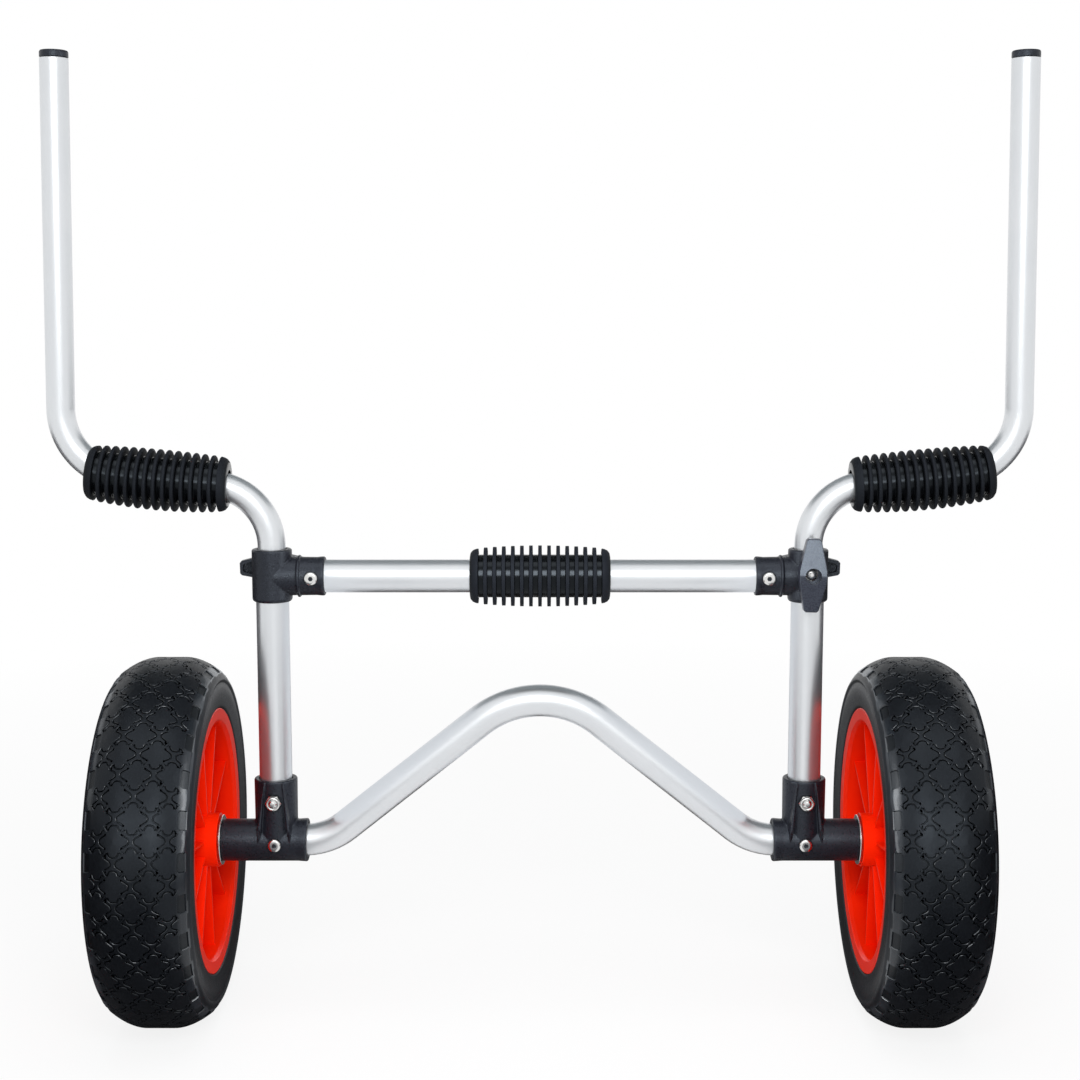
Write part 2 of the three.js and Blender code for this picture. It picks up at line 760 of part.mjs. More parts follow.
// Wing knob in its own frame: the axis is +Z out of the tee, the wings lie along Y
function wingOutline(inset) {
  const waist = knobHalfWidth - inset;
  const tip = knobTipHalfWidth - inset;
  const length = knobHalfLength - inset;
  const corner = [
    [waist, knobWaistHalf],
    [tip + knobTipCut / 2, length - knobTipCut],
    [tip - knobTipCut / 2, length],
  ];
  const opposite = corner.map(([x, y]) => [-x, y]).reverse();
  const upper = [...corner, ...opposite];
  return [...upper, ...upper.map(([x, y]) => [-x, -y])];
}

// The roof-shaped side view of the wings, across the whole width
function wingRoof(inset, floor) {
  const side = [
    [-knobHalfLength, floor],
    [knobHalfLength, floor],
    [knobHalfLength, knobTipDepth - inset],
    [knobRidgeHalf, knobDepth - inset],
    [-knobRidgeHalf, knobDepth - inset],
    [-knobHalfLength, knobTipDepth - inset],
  ];
  const roof = plate(side, -knobHalfWidth, knobHalfWidth);
  return roof.rotateX(Math.PI / 2).rotateZ(Math.PI / 2);
}

function wingKnob() {
  const wings = crossed(plate(wingOutline(0), 0, knobDepth), wingRoof(0, 0));
  const hollow = crossed(plate(wingOutline(knobWall), -overrun, knobDepth), wingRoof(knobWall, -overrun));
  const core = rod(knobHubRadius, -2 * overrun, knobDepth, fittingSides, 'z');
  const studHoleRadius = holeRadius(studRadius, seatGap, smallSides);
  return cut(
    wings,
    cut(hollow, core),
    rod(knobRecessRadius, knobDepth - knobRecessDepth, knobDepth + overrun, fittingSides, 'z'),
    rod(studHoleRadius, -overrun, knobDepth, smallSides, 'z'),
  );
}

// The knob with its stud, pad and insert, across the post at the given end and tilt
function addKnob(group, name, end, tilt) {
  const frame = new THREE.Group();
  frame.position.set(0, 0, knobHeight);
  frame.rotation.set(-end * Math.PI / 2, 0, 0);
  const turned = new THREE.Group();
  turned.position.z = bossEnd + knobStandOff;
  turned.rotation.z = tilt * degree;
  frame.add(turned);
  group.add(frame);
  addPiece(turned, `${name}_wing_knob`, wingKnob(), 'charcoal');
  const padStart = crankTubeRadius + seatGap;
  const studStart = padStart + padLength + seatGap;
  const studEnd = bossEnd + knobStandOff + knobDepth - studEndDepth;
  const insertStart = frameTubeRadius + 2 * seatGap;
  addPiece(frame, `${name}_knob_stud`, rod(studRadius, studStart, studEnd, smallSides, 'z'), 'steel');
  addPiece(frame, `${name}_pressure_pad`, rod(padRadius, padStart, padStart + padLength, smallSides, 'z'), 'nylon');
  const insertBore = holeRadius(studRadius, seatGap, smallSides);
  const insert = pipe(insertRadius, insertBore, insertStart, bossEnd, smallSides, 'z');
  addPiece(frame, `${name}_threaded_insert`, insert, 'steel');
}

function addWheel(name, side) {
  const wheel = new THREE.Group();
  wheel.position.x = side * trackHalf;
  cart.add(wheel);
  const inner = mirrored(bush());
  addPiece(wheel, `${name}_tyre`, tyre(), 'tyreRubber');
  addPiece(wheel, `${name}_rim`, side < 0 ? mirrored(rim()) : rim(), 'redPlastic');
  addPiece(wheel, `${name}_inner_bush`, side < 0 ? bush() : inner, 'nylon');
  addPiece(wheel, `${name}_outer_bush`, side < 0 ? inner : bush(), 'nylon');
}

function addSide(name, side, knobSides) {
  const group = new THREE.Group();
  group.position.x = side * postOffset;
  cart.add(group);
  const face = (geometry) => (side < 0 ? mirrored(geometry) : geometry);
  const add = (piece, geometry, finish) => addPiece(group, `${name}_${piece}`, face(geometry), finish);
  add('lower_tee', lowerTee(), 'charcoal');
  add('upper_tee', upperTee(knobSides), 'charcoal');
  add('post_tube', postTube(knobSides), 'aluminium');
  add('axle', axle(), 'steel');
  add('inner_washer', washer(sleeveOuterReach + seatGap), 'steel');
  add('outer_washer', washer(outerWasherStart), 'steel');
  add('axle_clip', springClip(), 'steel');
  add('axle_plug', axlePlug(), 'charcoal');
  add('crank_tube', crankTube(), 'aluminium');
  add('crank_cap', crankCap(), 'charcoal');
  add('crank_guide', crankGuide(), 'nylon');
  add('crank_grip', crankGrip(), 'gripRubber');
  addFasteners(add);
  knobSides.forEach((end) => {
    const place = end < 0 ? 'front' : 'rear';
    const tilt = end < 0 ? -frontKnobTilt : 90 + rearKnobTilt;
    addKnob(group, `${name}_${place}`, end, side * tilt);
  });
}

function addFasteners(add) {
  const atBranch = (geometry) => geometry.translate(-crossbarScrewReach, 0, crossbarHeight);
  const atPost = (geometry) => geometry.translate(0, 0, postBoltHeight);
  add('crossbar_screw', atBranch(buttonScrew(crossbarScrew, upperBranchRadius, smallNut)), 'steel');
  add('crossbar_nut', atBranch(hexNut(smallNut, crossbarScrew, upperBranchRadius)), 'steel');
  add('arch_screw', buttonScrew(crossbarScrew, lowerTeeRadius, smallNut), 'steel');
  add('arch_nut', hexNut(smallNut, crossbarScrew, lowerTeeRadius), 'steel');
  add('post_bolt', atPost(buttonScrew(postBolt, lowerTeeRadius, postNut).rotateZ(Math.PI)), 'steel');
  add('post_nut', atPost(hexNut(postNut, postBolt, lowerTeeRadius).rotateZ(Math.PI)), 'steel');
}

function archTube() {
  const end = postOffset + sleeveOuterReach - seatGap;
  const peak = archCorner * Math.tan(archSlope * degree);
  const corners = [[-end, 0], [-archCorner, 0], [0, peak], [archCorner, 0], [end, 0]];
  const route = new TubeRoute(corners, [archFootBend, archTopBend, archFootBend], archStepsPerBend);
  const tube = barAlong(route, archTubeRadius, bentTubeSides, archTubeRadius - archTubeWall, bentTubeSides);
  const holes = [-1, 1].map((side) => crossDrill(crossbarScrew.shank, side * postOffset, 0));
  return cut(tube, ...holes);
}

function crossbarTube() {
  const tube = pipe(frameTubeRadius, frameTubeRadius - frameTubeWall, -crossbarEnd, crossbarEnd, fittingSides, 'x');
  const reach = postOffset - crossbarScrewReach;
  return cut(tube, crossDrill(crossbarScrew.shank, -reach, 0), crossDrill(crossbarScrew.shank, reach, 0));
}

addPiece(cart, 'arch_tube', archTube(), 'aluminium');
addPiece(cart, 'crossbar_tube', crossbarTube(), 'aluminium').position.z = crossbarHeight;
addPiece(cart, 'crossbar_grip', crossbarGrip(), 'gripRubber').position.z = crossbarHeight;
addWheel('left', -1);
addWheel('right', 1);
addSide('left', -1, [1]);
addSide('right', 1, [-1, 1]);

export default cart;
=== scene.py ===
"""Kayak cart: the visual model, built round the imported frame.

Forms are worked in millimetres, with X across the cart, Y along the hull and Z up from the
ground, and they are scaled to metres when they are set down.
"""

from __future__ import annotations

import json
import logging
import math
from dataclasses import dataclass
from enum import Enum
from typing import Any, Callable, ClassVar, Iterable, Sequence, Union

import bmesh
import bpy
from mathutils import Matrix, Vector

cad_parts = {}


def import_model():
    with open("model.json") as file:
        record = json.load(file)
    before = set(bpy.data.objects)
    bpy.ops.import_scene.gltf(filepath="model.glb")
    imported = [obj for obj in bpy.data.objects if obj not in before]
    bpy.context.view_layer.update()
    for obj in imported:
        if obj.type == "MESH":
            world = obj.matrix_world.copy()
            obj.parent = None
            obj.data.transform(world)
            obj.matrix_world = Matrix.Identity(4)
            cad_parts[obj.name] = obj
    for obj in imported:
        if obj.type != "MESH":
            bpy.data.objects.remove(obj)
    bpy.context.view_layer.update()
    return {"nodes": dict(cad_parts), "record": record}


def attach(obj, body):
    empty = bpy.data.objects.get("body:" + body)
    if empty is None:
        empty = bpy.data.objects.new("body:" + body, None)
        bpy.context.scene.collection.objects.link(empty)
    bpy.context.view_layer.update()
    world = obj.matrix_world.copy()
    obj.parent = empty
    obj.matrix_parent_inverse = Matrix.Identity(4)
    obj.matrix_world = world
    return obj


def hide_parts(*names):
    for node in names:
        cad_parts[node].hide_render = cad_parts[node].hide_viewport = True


LOG = logging.getLogger("kayak_cart")

METRES = 0.001
AXLE_HEIGHT = 130.0
TRACK_HALF = 263.0
POST_OFFSET = 187.4
CROSSBAR_HEIGHT = AXLE_HEIGHT + 190.0
KNOB_HEIGHT = CROSSBAR_HEIGHT + 3.5
FRAME_TUBE_RADIUS = 11.5
CRANK_TUBE_RADIUS = 9.7
AXLE_RADIUS = 9.5
FIT_GAP = 0.3
TRUE_COORDINATE = "unbent"
COLD_SHEEN = (0.78, 0.89, 1.0, 1.0)
WHITE = (1.0, 1.0, 1.0, 1.0)

Point = tuple[float, float]
Place = tuple[float, float, float]
Colour = tuple[float, float, float]
Corner = tuple[float, ...]


class Side(Enum):
    """The two sides of the cart, as the sign of X."""

    LEFT = -1
    RIGHT = 1

    @property
    def label(self) -> str:
        """The word that starts the names of this side's pieces."""
        return self.name.lower()


class End(Enum):
    """The two faces of a post, as the sign of Y."""

    FRONT = -1
    REAR = 1

    @property
    def label(self) -> str:
        """The word that this face has in the names of its pieces."""
        return self.name.lower()


class Axis(Enum):
    """The direction that a turned form's own axis takes."""

    X = ("Y", 90.0)
    Y = ("X", -90.0)
    Z = ("Z", 0.0)

    @property
    def turn(self) -> Matrix:
        """The rotation that brings a form's axis from Z to this direction."""
        name, angle = self.value
        return Matrix.Rotation(math.radians(angle), 4, name)


class Blend(Enum):
    """How one closed form acts on another."""

    FUSE = "UNION"
    CARVE = "DIFFERENCE"
    KEEP = "INTERSECT"


def put_in_scene(name: str, data: bpy.types.ID) -> bpy.types.Object:
    """Adds an object to the scene.

    Args:
        name: its name.
        data: what it holds.

    Returns:
        The object.
    """
    made = bpy.data.objects.new(name, data)
    bpy.context.scene.collection.objects.link(made)
    return made


# Shader graphs


class Signal:
    """One value in a shader graph. Sums and products of signals add Math nodes."""

    def __init__(self, graph: "Graph", socket: bpy.types.NodeSocket) -> None:
        """Wraps a socket of a graph."""
        self.graph = graph
        self.socket = socket

    def _math(self, operation: str, first: "Operand", second: "Operand") -> "Signal":
        """Adds a Math node.

        Args:
            operation: the node's operation.
            first: its first value.
            second: its second value.

        Returns:
            The node's result.
        """
        node = self.graph.add("ShaderNodeMath", {"operation": operation}, {0: first, 1: second})
        return Signal(self.graph, node.outputs[0])

    def __add__(self, other: "Operand") -> "Signal":
        """The sum."""
        return self._math("ADD", self, other)

    def __radd__(self, other: "Operand") -> "Signal":
        """The sum, from the right."""
        return self._math("ADD", other, self)

    def __sub__(self, other: "Operand") -> "Signal":
        """The difference."""
        return self._math("SUBTRACT", self, other)

    def __mul__(self, other: "Operand") -> "Signal":
        """The product."""
        return self._math("MULTIPLY", self, other)

    def above(self, level: float) -> "Signal":
        """One where the value is over the level, and zero elsewhere."""
        return self._math("GREATER_THAN", self, level)


Operand = Union[Signal, float]


class Graph:
    """The shader graph of a material or of the world."""

    def __init__(self, tree: bpy.types.NodeTree) -> None:
        """Empties a node tree and takes it over."""
        self.tree = tree
        tree.nodes.clear()

    @classmethod
    def of_material(cls, name: str) -> tuple[bpy.types.Material, "Graph"]:
        """Makes a material.

        Args:
            name: its name.

        Returns:
            The material and its empty graph.
        """
        made = bpy.data.materials.new(name)
        made.use_nodes = True
        return made, cls(made.node_tree)

    def show(self, shader: bpy.types.Node, output: str = "Material") -> None:
        """Makes a shader node the surface of the material or the world."""
        self.add(f"ShaderNodeOutput{output}", {}, {"Surface": shader.outputs[0]})

    def shown_background(self) -> Signal:
        """Finds the rays that see the background.

        Returns:
            One for camera, glossy and transmission rays, and zero for the others.
        """
        path = self.add("ShaderNodeLightPath")
        camera, glossy, through = (
            Signal(self, path.outputs[f"Is {kind} Ray"]) for kind in ("Camera", "Glossy", "Transmission")
        )
        return (camera + glossy + through).above(0.5)

    def add(
        self,
        kind: str,
        settings: dict[str, Any] | None = None,
        sockets: dict[Any, Any] | None = None,
    ) -> bpy.types.Node:
        """Adds a node.

        Args:
            kind: the node's type.
            settings: its settings, with a ramp's stops as pairs of place and grey under "stops".
            sockets: values, or the signals and sockets that are linked, by input.

        Returns:
            The new node.
        """
        node = self.tree.nodes.new(kind)
        for name, value in (settings or {}).items():
            if name == "stops":
                self._set_stops(node.color_ramp, value)
            else:
                setattr(node, name, value)
        for name, value in (sockets or {}).items():
            source = value.socket if isinstance(value, Signal) else value
            if isinstance(source, bpy.types.NodeSocket):
                self.tree.links.new(source, node.inputs[name])
            else:
                node.inputs[name].default_value = source
        return node

    @staticmethod
    def _set_stops(ramp: bpy.types.ColorRamp, stops: Sequence[Point]) -> None:
        """Gives a colour ramp its grey stops.

        Args:
            ramp: the ramp.
            stops: pairs of place and grey.
        """
        for index, (place, grey) in enumerate(stops):
            element = ramp.elements[index] if index < 2 else ramp.elements.new(place)
            element.position = place
            element.color = (grey, grey, grey, 1.0)

    def place(self) -> bpy.types.NodeSocket:
        """The place on the object, in metres."""
        return self.add("ShaderNodeTexCoord").outputs["Object"]

    def unbent_place(self) -> bpy.types.NodeSocket:
        """The place on a tube before it was bent, in metres, with its length along Z."""
        return self.add("ShaderNodeAttribute", {"attribute_name": TRUE_COORDINATE}).outputs["Vector"]

    def noise(
        self,
        place: bpy.types.NodeSocket,
        size: float,
        detail: float = 2.0,
        stretch: Sequence[float] = (1.0, 1.0, 1.0),
    ) -> Signal:
        """Adds noise.

        Args:
            place: the coordinate it follows.
            size: the width of its spots in millimetres.
            detail: its octaves.
            stretch: how many times longer the spots are along each axis.

        Returns:
            The noise, about 0.5.
        """
        scale = tuple(1.0 / (size * METRES * length) for length in stretch)
        mapping = self.add("ShaderNodeMapping", {"vector_type": "POINT"}, {"Vector": place, "Scale": scale})
        node = self.add(
            "ShaderNodeTexNoise",
            {"noise_dimensions": "3D"},
            {"Vector": mapping.outputs[0], "Scale": 1.0, "Detail": detail},
        )
        return Signal(self, node.outputs[0])

    def from_axis(self, place: bpy.types.NodeSocket) -> Signal:
        """Measures how far a place is from the Z axis.

        Args:
            place: the place.

        Returns:
            The distance in metres.
        """
        flat = self.add("ShaderNodeVectorMath", {"operation": "MULTIPLY"}, {0: place, 1: (1.0, 1.0, 0.0)})
        length = self.add("ShaderNodeVectorMath", {"operation": "LENGTH"}, {0: flat.outputs[0]})
        return Signal(self, length.outputs["Value"])

    def ramp(self, value: Signal, stops: Sequence[Point]) -> Signal:
        """Adds a ramp.

        Args:
            value: what it reads.
            stops: pairs of place and grey.

        Returns:
            The grey at the value.
        """
        return Signal(self, self.add("ShaderNodeValToRGB", {"stops": stops}, {"Fac": value}).outputs[0])

    def tint(self, factor: Signal, low: Sequence[float], high: Sequence[float]) -> bpy.types.NodeSocket:
        """Mixes two colours.

        Args:
            factor: how much of the second colour shows.
            low: the first colour.
            high: the second colour.

        Returns:
            The mixed colour.
        """
        node = self.add(
            "ShaderNodeMix",
            {"data_type": "RGBA"},
            {0: factor, 6: (*low, 1.0), 7: (*high, 1.0)},
        )
        return node.outputs[2]

    def bump(self, height: Signal, depth: float) -> bpy.types.NodeSocket:
        """Adds a bump.

        Args:
            height: the height, from 0 to 1.
            depth: what a height of 1 is in millimetres.

        Returns:
            The bent normal.
        """
        node = self.add("ShaderNodeBump", {}, {"Height": height, "Distance": depth * METRES, "Strength": 1.0})
        return node.outputs[0]


@dataclass(frozen=True)
class Finish:
    """A finish of the cart, with the record's slot that it stands for."""

    name: str
    slot: str

    def material(self) -> bpy.types.Material:
        """Makes the finish's material on its first use.

        Returns:
            The material.
        """
        known = bpy.data.materials.get(self.name)
        if known:
            return known
        made, graph = Graph.of_material(self.name)
        graph.show(graph.add("ShaderNodeBsdfPrincipled", {}, self.sockets(graph)))
        return made

    def sockets(self, graph: Graph) -> dict[str, Any]:
        """Returns what the surface shader's inputs take."""
        raise NotImplementedError


@dataclass(frozen=True)
class SatinAluminium(Finish):
    """Drawn tube with a satin anodised skin, fine die lines along it and faint scuffs."""

    low: Colour = (0.66, 0.685, 0.71)
    high: Colour = (0.77, 0.785, 0.80)
    metallic: float = 0.9
    roughness: float = 0.30
    relief: float = 0.012

    def sockets(self, graph: Graph) -> dict[str, Any]:
        """Mixes the surface.

        Args:
            graph: the material's graph.

        Returns:
            What the surface shader's inputs take.
        """
        place = graph.unbent_place()
        lines = graph.noise(place, size=0.35, stretch=(1.0, 1.0, 160.0))
        cloud = graph.noise(place, size=40.0, detail=3.0)
        etch = graph.noise(place, size=0.22, detail=1.0)
        scratches = graph.noise(place, size=1.3, detail=4.0, stretch=(1.0, 1.0, 9.0))
        scuffs = graph.ramp(scratches, [(0.66, 0.0), (0.74, 1.0)])
        return {
            "Base Color": graph.tint(cloud * 0.7 + lines * 0.3, self.low, self.high),
            "Metallic": self.metallic,
            "Roughness": self.roughness + lines * 0.06 + scuffs * 0.06,
            "Normal": graph.bump(lines * 0.6 + etch * 0.6 - scuffs * 0.3, self.relief),
        }


@dataclass(frozen=True)
class BrightSteel(Finish):
    """Stainless steel, turned and tumbled."""

    low: Colour = (0.62, 0.62, 0.61)
    high: Colour = (0.82, 0.82, 0.81)
    roughness: float = 0.16
    relief: float = 0.01

    def sockets(self, graph: Graph) -> dict[str, Any]:
        """Mixes the surface.

        Args:
            graph: the material's graph.

        Returns:
            What the surface shader's inputs take.
        """
        place = graph.place()
        marks = graph.noise(place, size=0.5, detail=3.0)
        stain = graph.noise(place, size=3.5)
        return {
            "Base Color": graph.tint(stain, self.low, self.high),
            "Metallic": 1.0,
            "Roughness": self.roughness + marks * 0.14,
            "Normal": graph.bump(marks, self.relief),
        }


@dataclass(frozen=True)
class GrainedNylon(Finish):
    """Glass-filled moulding with a spark-eroded grain and paler, rougher mottles."""

    low: Colour = (0.0034, 0.0036, 0.0052)
    high: Colour = (0.014, 0.0145, 0.021)
    gloss: float = 0.36
    grain_depth: float = 0.22
    roughness: float = 0.24
    unevenness: float = 0.2

    def sockets(self, graph: Graph) -> dict[str, Any]:
        """Mixes the surface.

        Args:
            graph: the material's graph.

        Returns:
            What the surface shader's inputs take.
        """
        place = graph.place()
        grain = graph.noise(place, size=0.45)
        coarse = graph.noise(place, size=1.1, detail=3.0)
        flow = graph.noise(place, size=14.0, stretch=(1.0, 1.0, 2.5))
        mottle = graph.ramp(coarse, [(0.3, 0.0), (0.7, 1.0)])
        return {
            "Base Color": graph.tint(mottle * 0.6 + flow * 0.4, self.low, self.high),
            "Roughness": self.roughness + mottle * self.unevenness,
            "Specular IOR Level": self.gloss,
            "Specular Tint": COLD_SHEEN,
            "Normal": graph.bump(grain * 0.5 + coarse * 0.5, self.grain_depth),
        }


@dataclass(frozen=True)
class GripRubber(Finish):
    """Soft black rubber, glossy, painted darker between the ribs and lighter grey on top of them: painted
    shade in the grooves, and painted light with dust on the rib tops.

    Its ramps read the distance from the grip's axis as a share of full_radius.
    """

    dark: Colour = (0.0010, 0.0011, 0.0015)
    rubbed: Colour = (0.009, 0.0102, 0.0142)
    gloss: float = 0.2
    roughness: float = 0.12
    relief: float = 0.03
    full_radius: float = 20.0

    def sockets(self, graph: Graph) -> dict[str, Any]:
        """Mixes the surface.

        Args:
            graph: the material's graph.

        Returns:
            What the surface shader's inputs take.
        """
        place = graph.unbent_place()
        skin = graph.noise(place, size=0.6, detail=3.0)
        dust = graph.noise(place, size=9.0, detail=4.0)
        radius = graph.from_axis(place) * (1.0 / (self.full_radius * METRES))
        # Painted shade and light: the colour darkens towards the core between the ribs and lightens on the
        # rib tops, where dust adds to it.
        top = graph.ramp(radius, [(0.79, 0.0), (0.97, 1.0)])
        flank = graph.ramp(radius, [(0.758, 0.0), (0.79, 1.0)])
        return {
            "Base Color": graph.tint(top * 0.7 + top * dust * 0.6, self.dark, self.rubbed),
            "Roughness": self.roughness + flank * 0.5 + dust * 0.12,
            "Specular IOR Level": self.gloss,
            "Specular Tint": COLD_SHEEN,
            "Normal": graph.bump(skin, self.relief),
        }


@dataclass(frozen=True)
class TyreRubber(Finish):
    """Moulded tyre skin: near black and dull, with shiny edges to its blocks and shiny shoulders, and its
    grooves painted darker as painted shade.

    Its ramps read the depth in a groove, which groove_scale brings to about 1 at the floor, and
    the square of the distance across the tread, which shoulder_scale brings to 1 past the wall.
    """

    low: Colour = (0.0006, 0.0007, 0.0010)
    high: Colour = (0.0050, 0.0058, 0.0078)
    gloss: float = 0.22
    roughness: float = 0.28
    coat_roughness: float = 0.2
    coat_tint: Corner = (0.80, 0.90, 1.0, 1.0)
    relief: float = 0.06
    groove_scale: float = -770.0
    shoulder_scale: float = 700.0

    def sockets(self, graph: Graph) -> dict[str, Any]:
        """Mixes the surface.

        Args:
            graph: the material's graph.

        Returns:
            What the surface shader's inputs take.
        """
        place = graph.place()
        pits = graph.noise(place, size=0.7, detail=3.0)
        bloom = graph.noise(place, size=22.0, detail=4.0)
        smear = graph.noise(place, size=5.0, detail=3.0, stretch=(2.5, 1.0, 1.0))
        tread = graph.add("ShaderNodeSeparateXYZ", {}, {0: graph.unbent_place()})
        across, height = Signal(graph, tread.outputs[0]), Signal(graph, tread.outputs[2])
        depth = height * self.groove_scale
        spread = across * across * self.shoulder_scale
        edge = graph.ramp(depth, [(0.0, 0.0), (0.04, 1.0), (0.2, 1.0), (0.4, 0.0)])
        land = graph.ramp(depth, [(0.2, 1.0), (0.5, 0.0)])
        shoulder = graph.ramp(spread, [(0.52, 0.0), (0.62, 1.0), (0.8, 1.0), (0.86, 0.0)])
        mottle = graph.ramp(pits, [(0.34, 0.0), (0.66, 1.0)])
        shine = shoulder * (0.35 + land * 0.65) * (0.3 + bloom)
        return {
            # Painted shade: multiplying the tint by land paints the grooves darker than the tread's top.
            "Base Color": graph.tint((bloom * 0.5 + mottle * 0.5) * land, self.low, self.high),
            "Roughness": self.roughness + mottle * 0.14 + smear * 0.1,
            "Specular IOR Level": self.gloss,
            "Specular Tint": COLD_SHEEN,
            "Coat Weight": edge * (0.25 + smear * 0.8) + shine,
            "Coat Roughness": self.coat_roughness,
            "Coat Tint": self.coat_tint,
            "Normal": graph.bump(pits * 0.7 + smear * 0.3, self.relief),
        }


@dataclass(frozen=True)
class RimPlastic(Finish):
    """Glossy red moulding with flow marks, painted deep red low in the dish and lighter, more orange towards
    its free edges: painted shade and painted light.

    Its ramp reads the square of the distance across the rim, times edge_scale.
    """

    low: Colour = (0.74, 0.0030, 0.0004)
    high: Colour = (0.95, 0.020, 0.0010)
    gloss: float = 0.16
    sheen: Corner = (1.0, 0.6, 0.42, 1.0)
    roughness: float = 0.26
    relief: float = 0.03
    edge_scale: float = 1000.0

    def sockets(self, graph: Graph) -> dict[str, Any]:
        """Mixes the surface.

        Args:
            graph: the material's graph.

        Returns:
            What the surface shader's inputs take.
        """
        place = graph.unbent_place()
        flow = graph.noise(place, size=16.0, detail=3.0)
        skin = graph.noise(place, size=1.1)
        across = Signal(graph, graph.add("ShaderNodeSeparateXYZ", {}, {0: place}).outputs[0])
        # Painted light and shade: the colour runs from the darker red at the middle of the rim to the paler
        # orange at its free edges.
        painted_edge_light = graph.ramp(across * across * self.edge_scale, [(0.02, 0.0), (0.8, 1.0)])
        return {
            "Base Color": graph.tint(painted_edge_light * 0.8 + flow * 0.2, self.low, self.high),
            "Roughness": self.roughness + flow * 0.12,
            "Specular IOR Level": self.gloss,
            "Specular Tint": self.sheen,
            "Normal": graph.bump(flow * 0.4 + skin * 0.6, self.relief),
        }


@dataclass(frozen=True)
class WhiteNylon(Finish):
    """Natural nylon of the bushes and pads."""

    low: Colour = (0.66, 0.65, 0.61)
    high: Colour = (0.76, 0.75, 0.71)
    roughness: float = 0.42
    relief: float = 0.02

    def sockets(self, graph: Graph) -> dict[str, Any]:
        """Mixes the surface.

        Args:
            graph: the material's graph.

        Returns:
            What the surface shader's inputs take.
        """
        haze = graph.noise(graph.place(), size=6.0, detail=3.0)
        return {
            "Base Color": graph.tint(haze, self.low, self.high),
            "Roughness": self.roughness + haze * 0.1,
            "Normal": graph.bump(haze, self.relief),
        }


ALUMINIUM = SatinAluminium("satin_aluminium", "aluminium_tube")
STEEL = BrightSteel("bright_steel", "stainless_steel")
NYLON = GrainedNylon("grained_nylon", "moulded_fitting")
# A lighter copy of the grained nylon for the front knob: painted light on the lit knob.
LIT_KNOB_NYLON = GrainedNylon(
    "knob_nylon", "moulded_fitting", low=(0.015, 0.0165, 0.025), high=(0.026, 0.028, 0.040),
    gloss=0.8, grain_depth=0.06, unevenness=0.08,
)
GRIP = GripRubber("matt_grip_rubber", "grip_rubber")
CRANK_GRIP = GripRubber("black_grip_rubber", "grip_rubber", rubbed=(0.0045, 0.005, 0.007))
TYRE = TyreRubber("black_tyre_rubber", "tyre_rubber")
RIM = RimPlastic("red_rim_plastic", "rim_plastic")
PALE_NYLON = WhiteNylon("pale_nylon", "white_nylon")
SLOT_FINISHES = (ALUMINIUM, STEEL, NYLON, GRIP, TYRE, RIM, PALE_NYLON)
BLACK_FINISHES = (NYLON, LIT_KNOB_NYLON, TYRE, GRIP, CRANK_GRIP)


# Forms


class Route:
    """The centre line of a tube in the plane of X and Z: straight runs joined by round bends."""

    def __init__(self, corners: Sequence[Point], bends: Sequence[float], step: float = 5.0) -> None:
        """Lays out the route.

        Args:
            corners: the ends, and the points where the straight runs would meet.
            bends: the radius of each bend.
            step: degrees from one station to the next in a bend.
        """
        self.stations: list[tuple[float, Vector, Vector]] = []
        points = [Vector((x, 0.0, z)) for x, z in corners]
        runs = [(after - before).normalized() for before, after in zip(points, points[1:])]
        self._add(points[0], runs[0])
        for corner, incoming, outgoing, radius in zip(points[1:], runs, runs[1:], bends):
            self._bend(corner, incoming, outgoing, radius, step)
        self._add(points[-1], runs[-1])

    def _add(self, point: Vector, direction: Vector, length: float | None = None) -> None:
        """Adds a station.

        Args:
            point: its place.
            direction: the tube's direction there.
            length: the distance from the last station, if it isn't straight.
        """
        so_far = 0.0
        if self.stations:
            last, place, _ = self.stations[-1]
            so_far = last + ((point - place).length if length is None else length)
        self.stations.append((so_far, point.copy(), direction.normalized()))

    def _bend(self, corner: Vector, incoming: Vector, outgoing: Vector, radius: float, step: float) -> None:
        """Adds the stations of a bend.

        Args:
            corner: where the straight runs would meet.
            incoming: the direction before the bend.
            outgoing: the direction after it.
            radius: the bend's radius.
            step: degrees from one station to the next.
        """
        turn = incoming.angle(outgoing)
        inward = (outgoing - incoming * incoming.dot(outgoing)).normalized()
        start = corner - incoming * radius * math.tan(turn / 2)
        self._add(start, incoming)
        count = max(2, math.ceil(math.degrees(turn) / step))
        for index in range(1, count + 1):
            angle = turn * index / count
            point = start + incoming * radius * math.sin(angle) + inward * radius * (1 - math.cos(angle))
            self._add(point, incoming * math.cos(angle) + inward * math.sin(angle), radius * turn / count)

    @property
    def length(self) -> float:
        """The length of the centre line."""
        return self.stations[-1][0]

    def carry(self, place: Vector) -> Vector:
        """Carries a point of a straight tube along Z to its place on the bent one.

        Args:
            place: the point, with the tube's own axis on Z.

        Returns:
            The point on the bent tube.
        """
        index = 0
        while index < len(self.stations) - 2 and place.z > self.stations[index + 1][0]:
            index += 1
        low, first, start = self.stations[index]
        high, second, stop = self.stations[index + 1]
        share = (place.z - low) / max(high - low, 1e-6)
        direction = start.lerp(stop, min(max(share, 0.0), 1.0)).normalized()
        sideways = direction.cross(Vector((0.0, 1.0, 0.0))).normalized()
        return first.lerp(second, share) + sideways * place.x + Vector((0.0, place.y, 0.0))


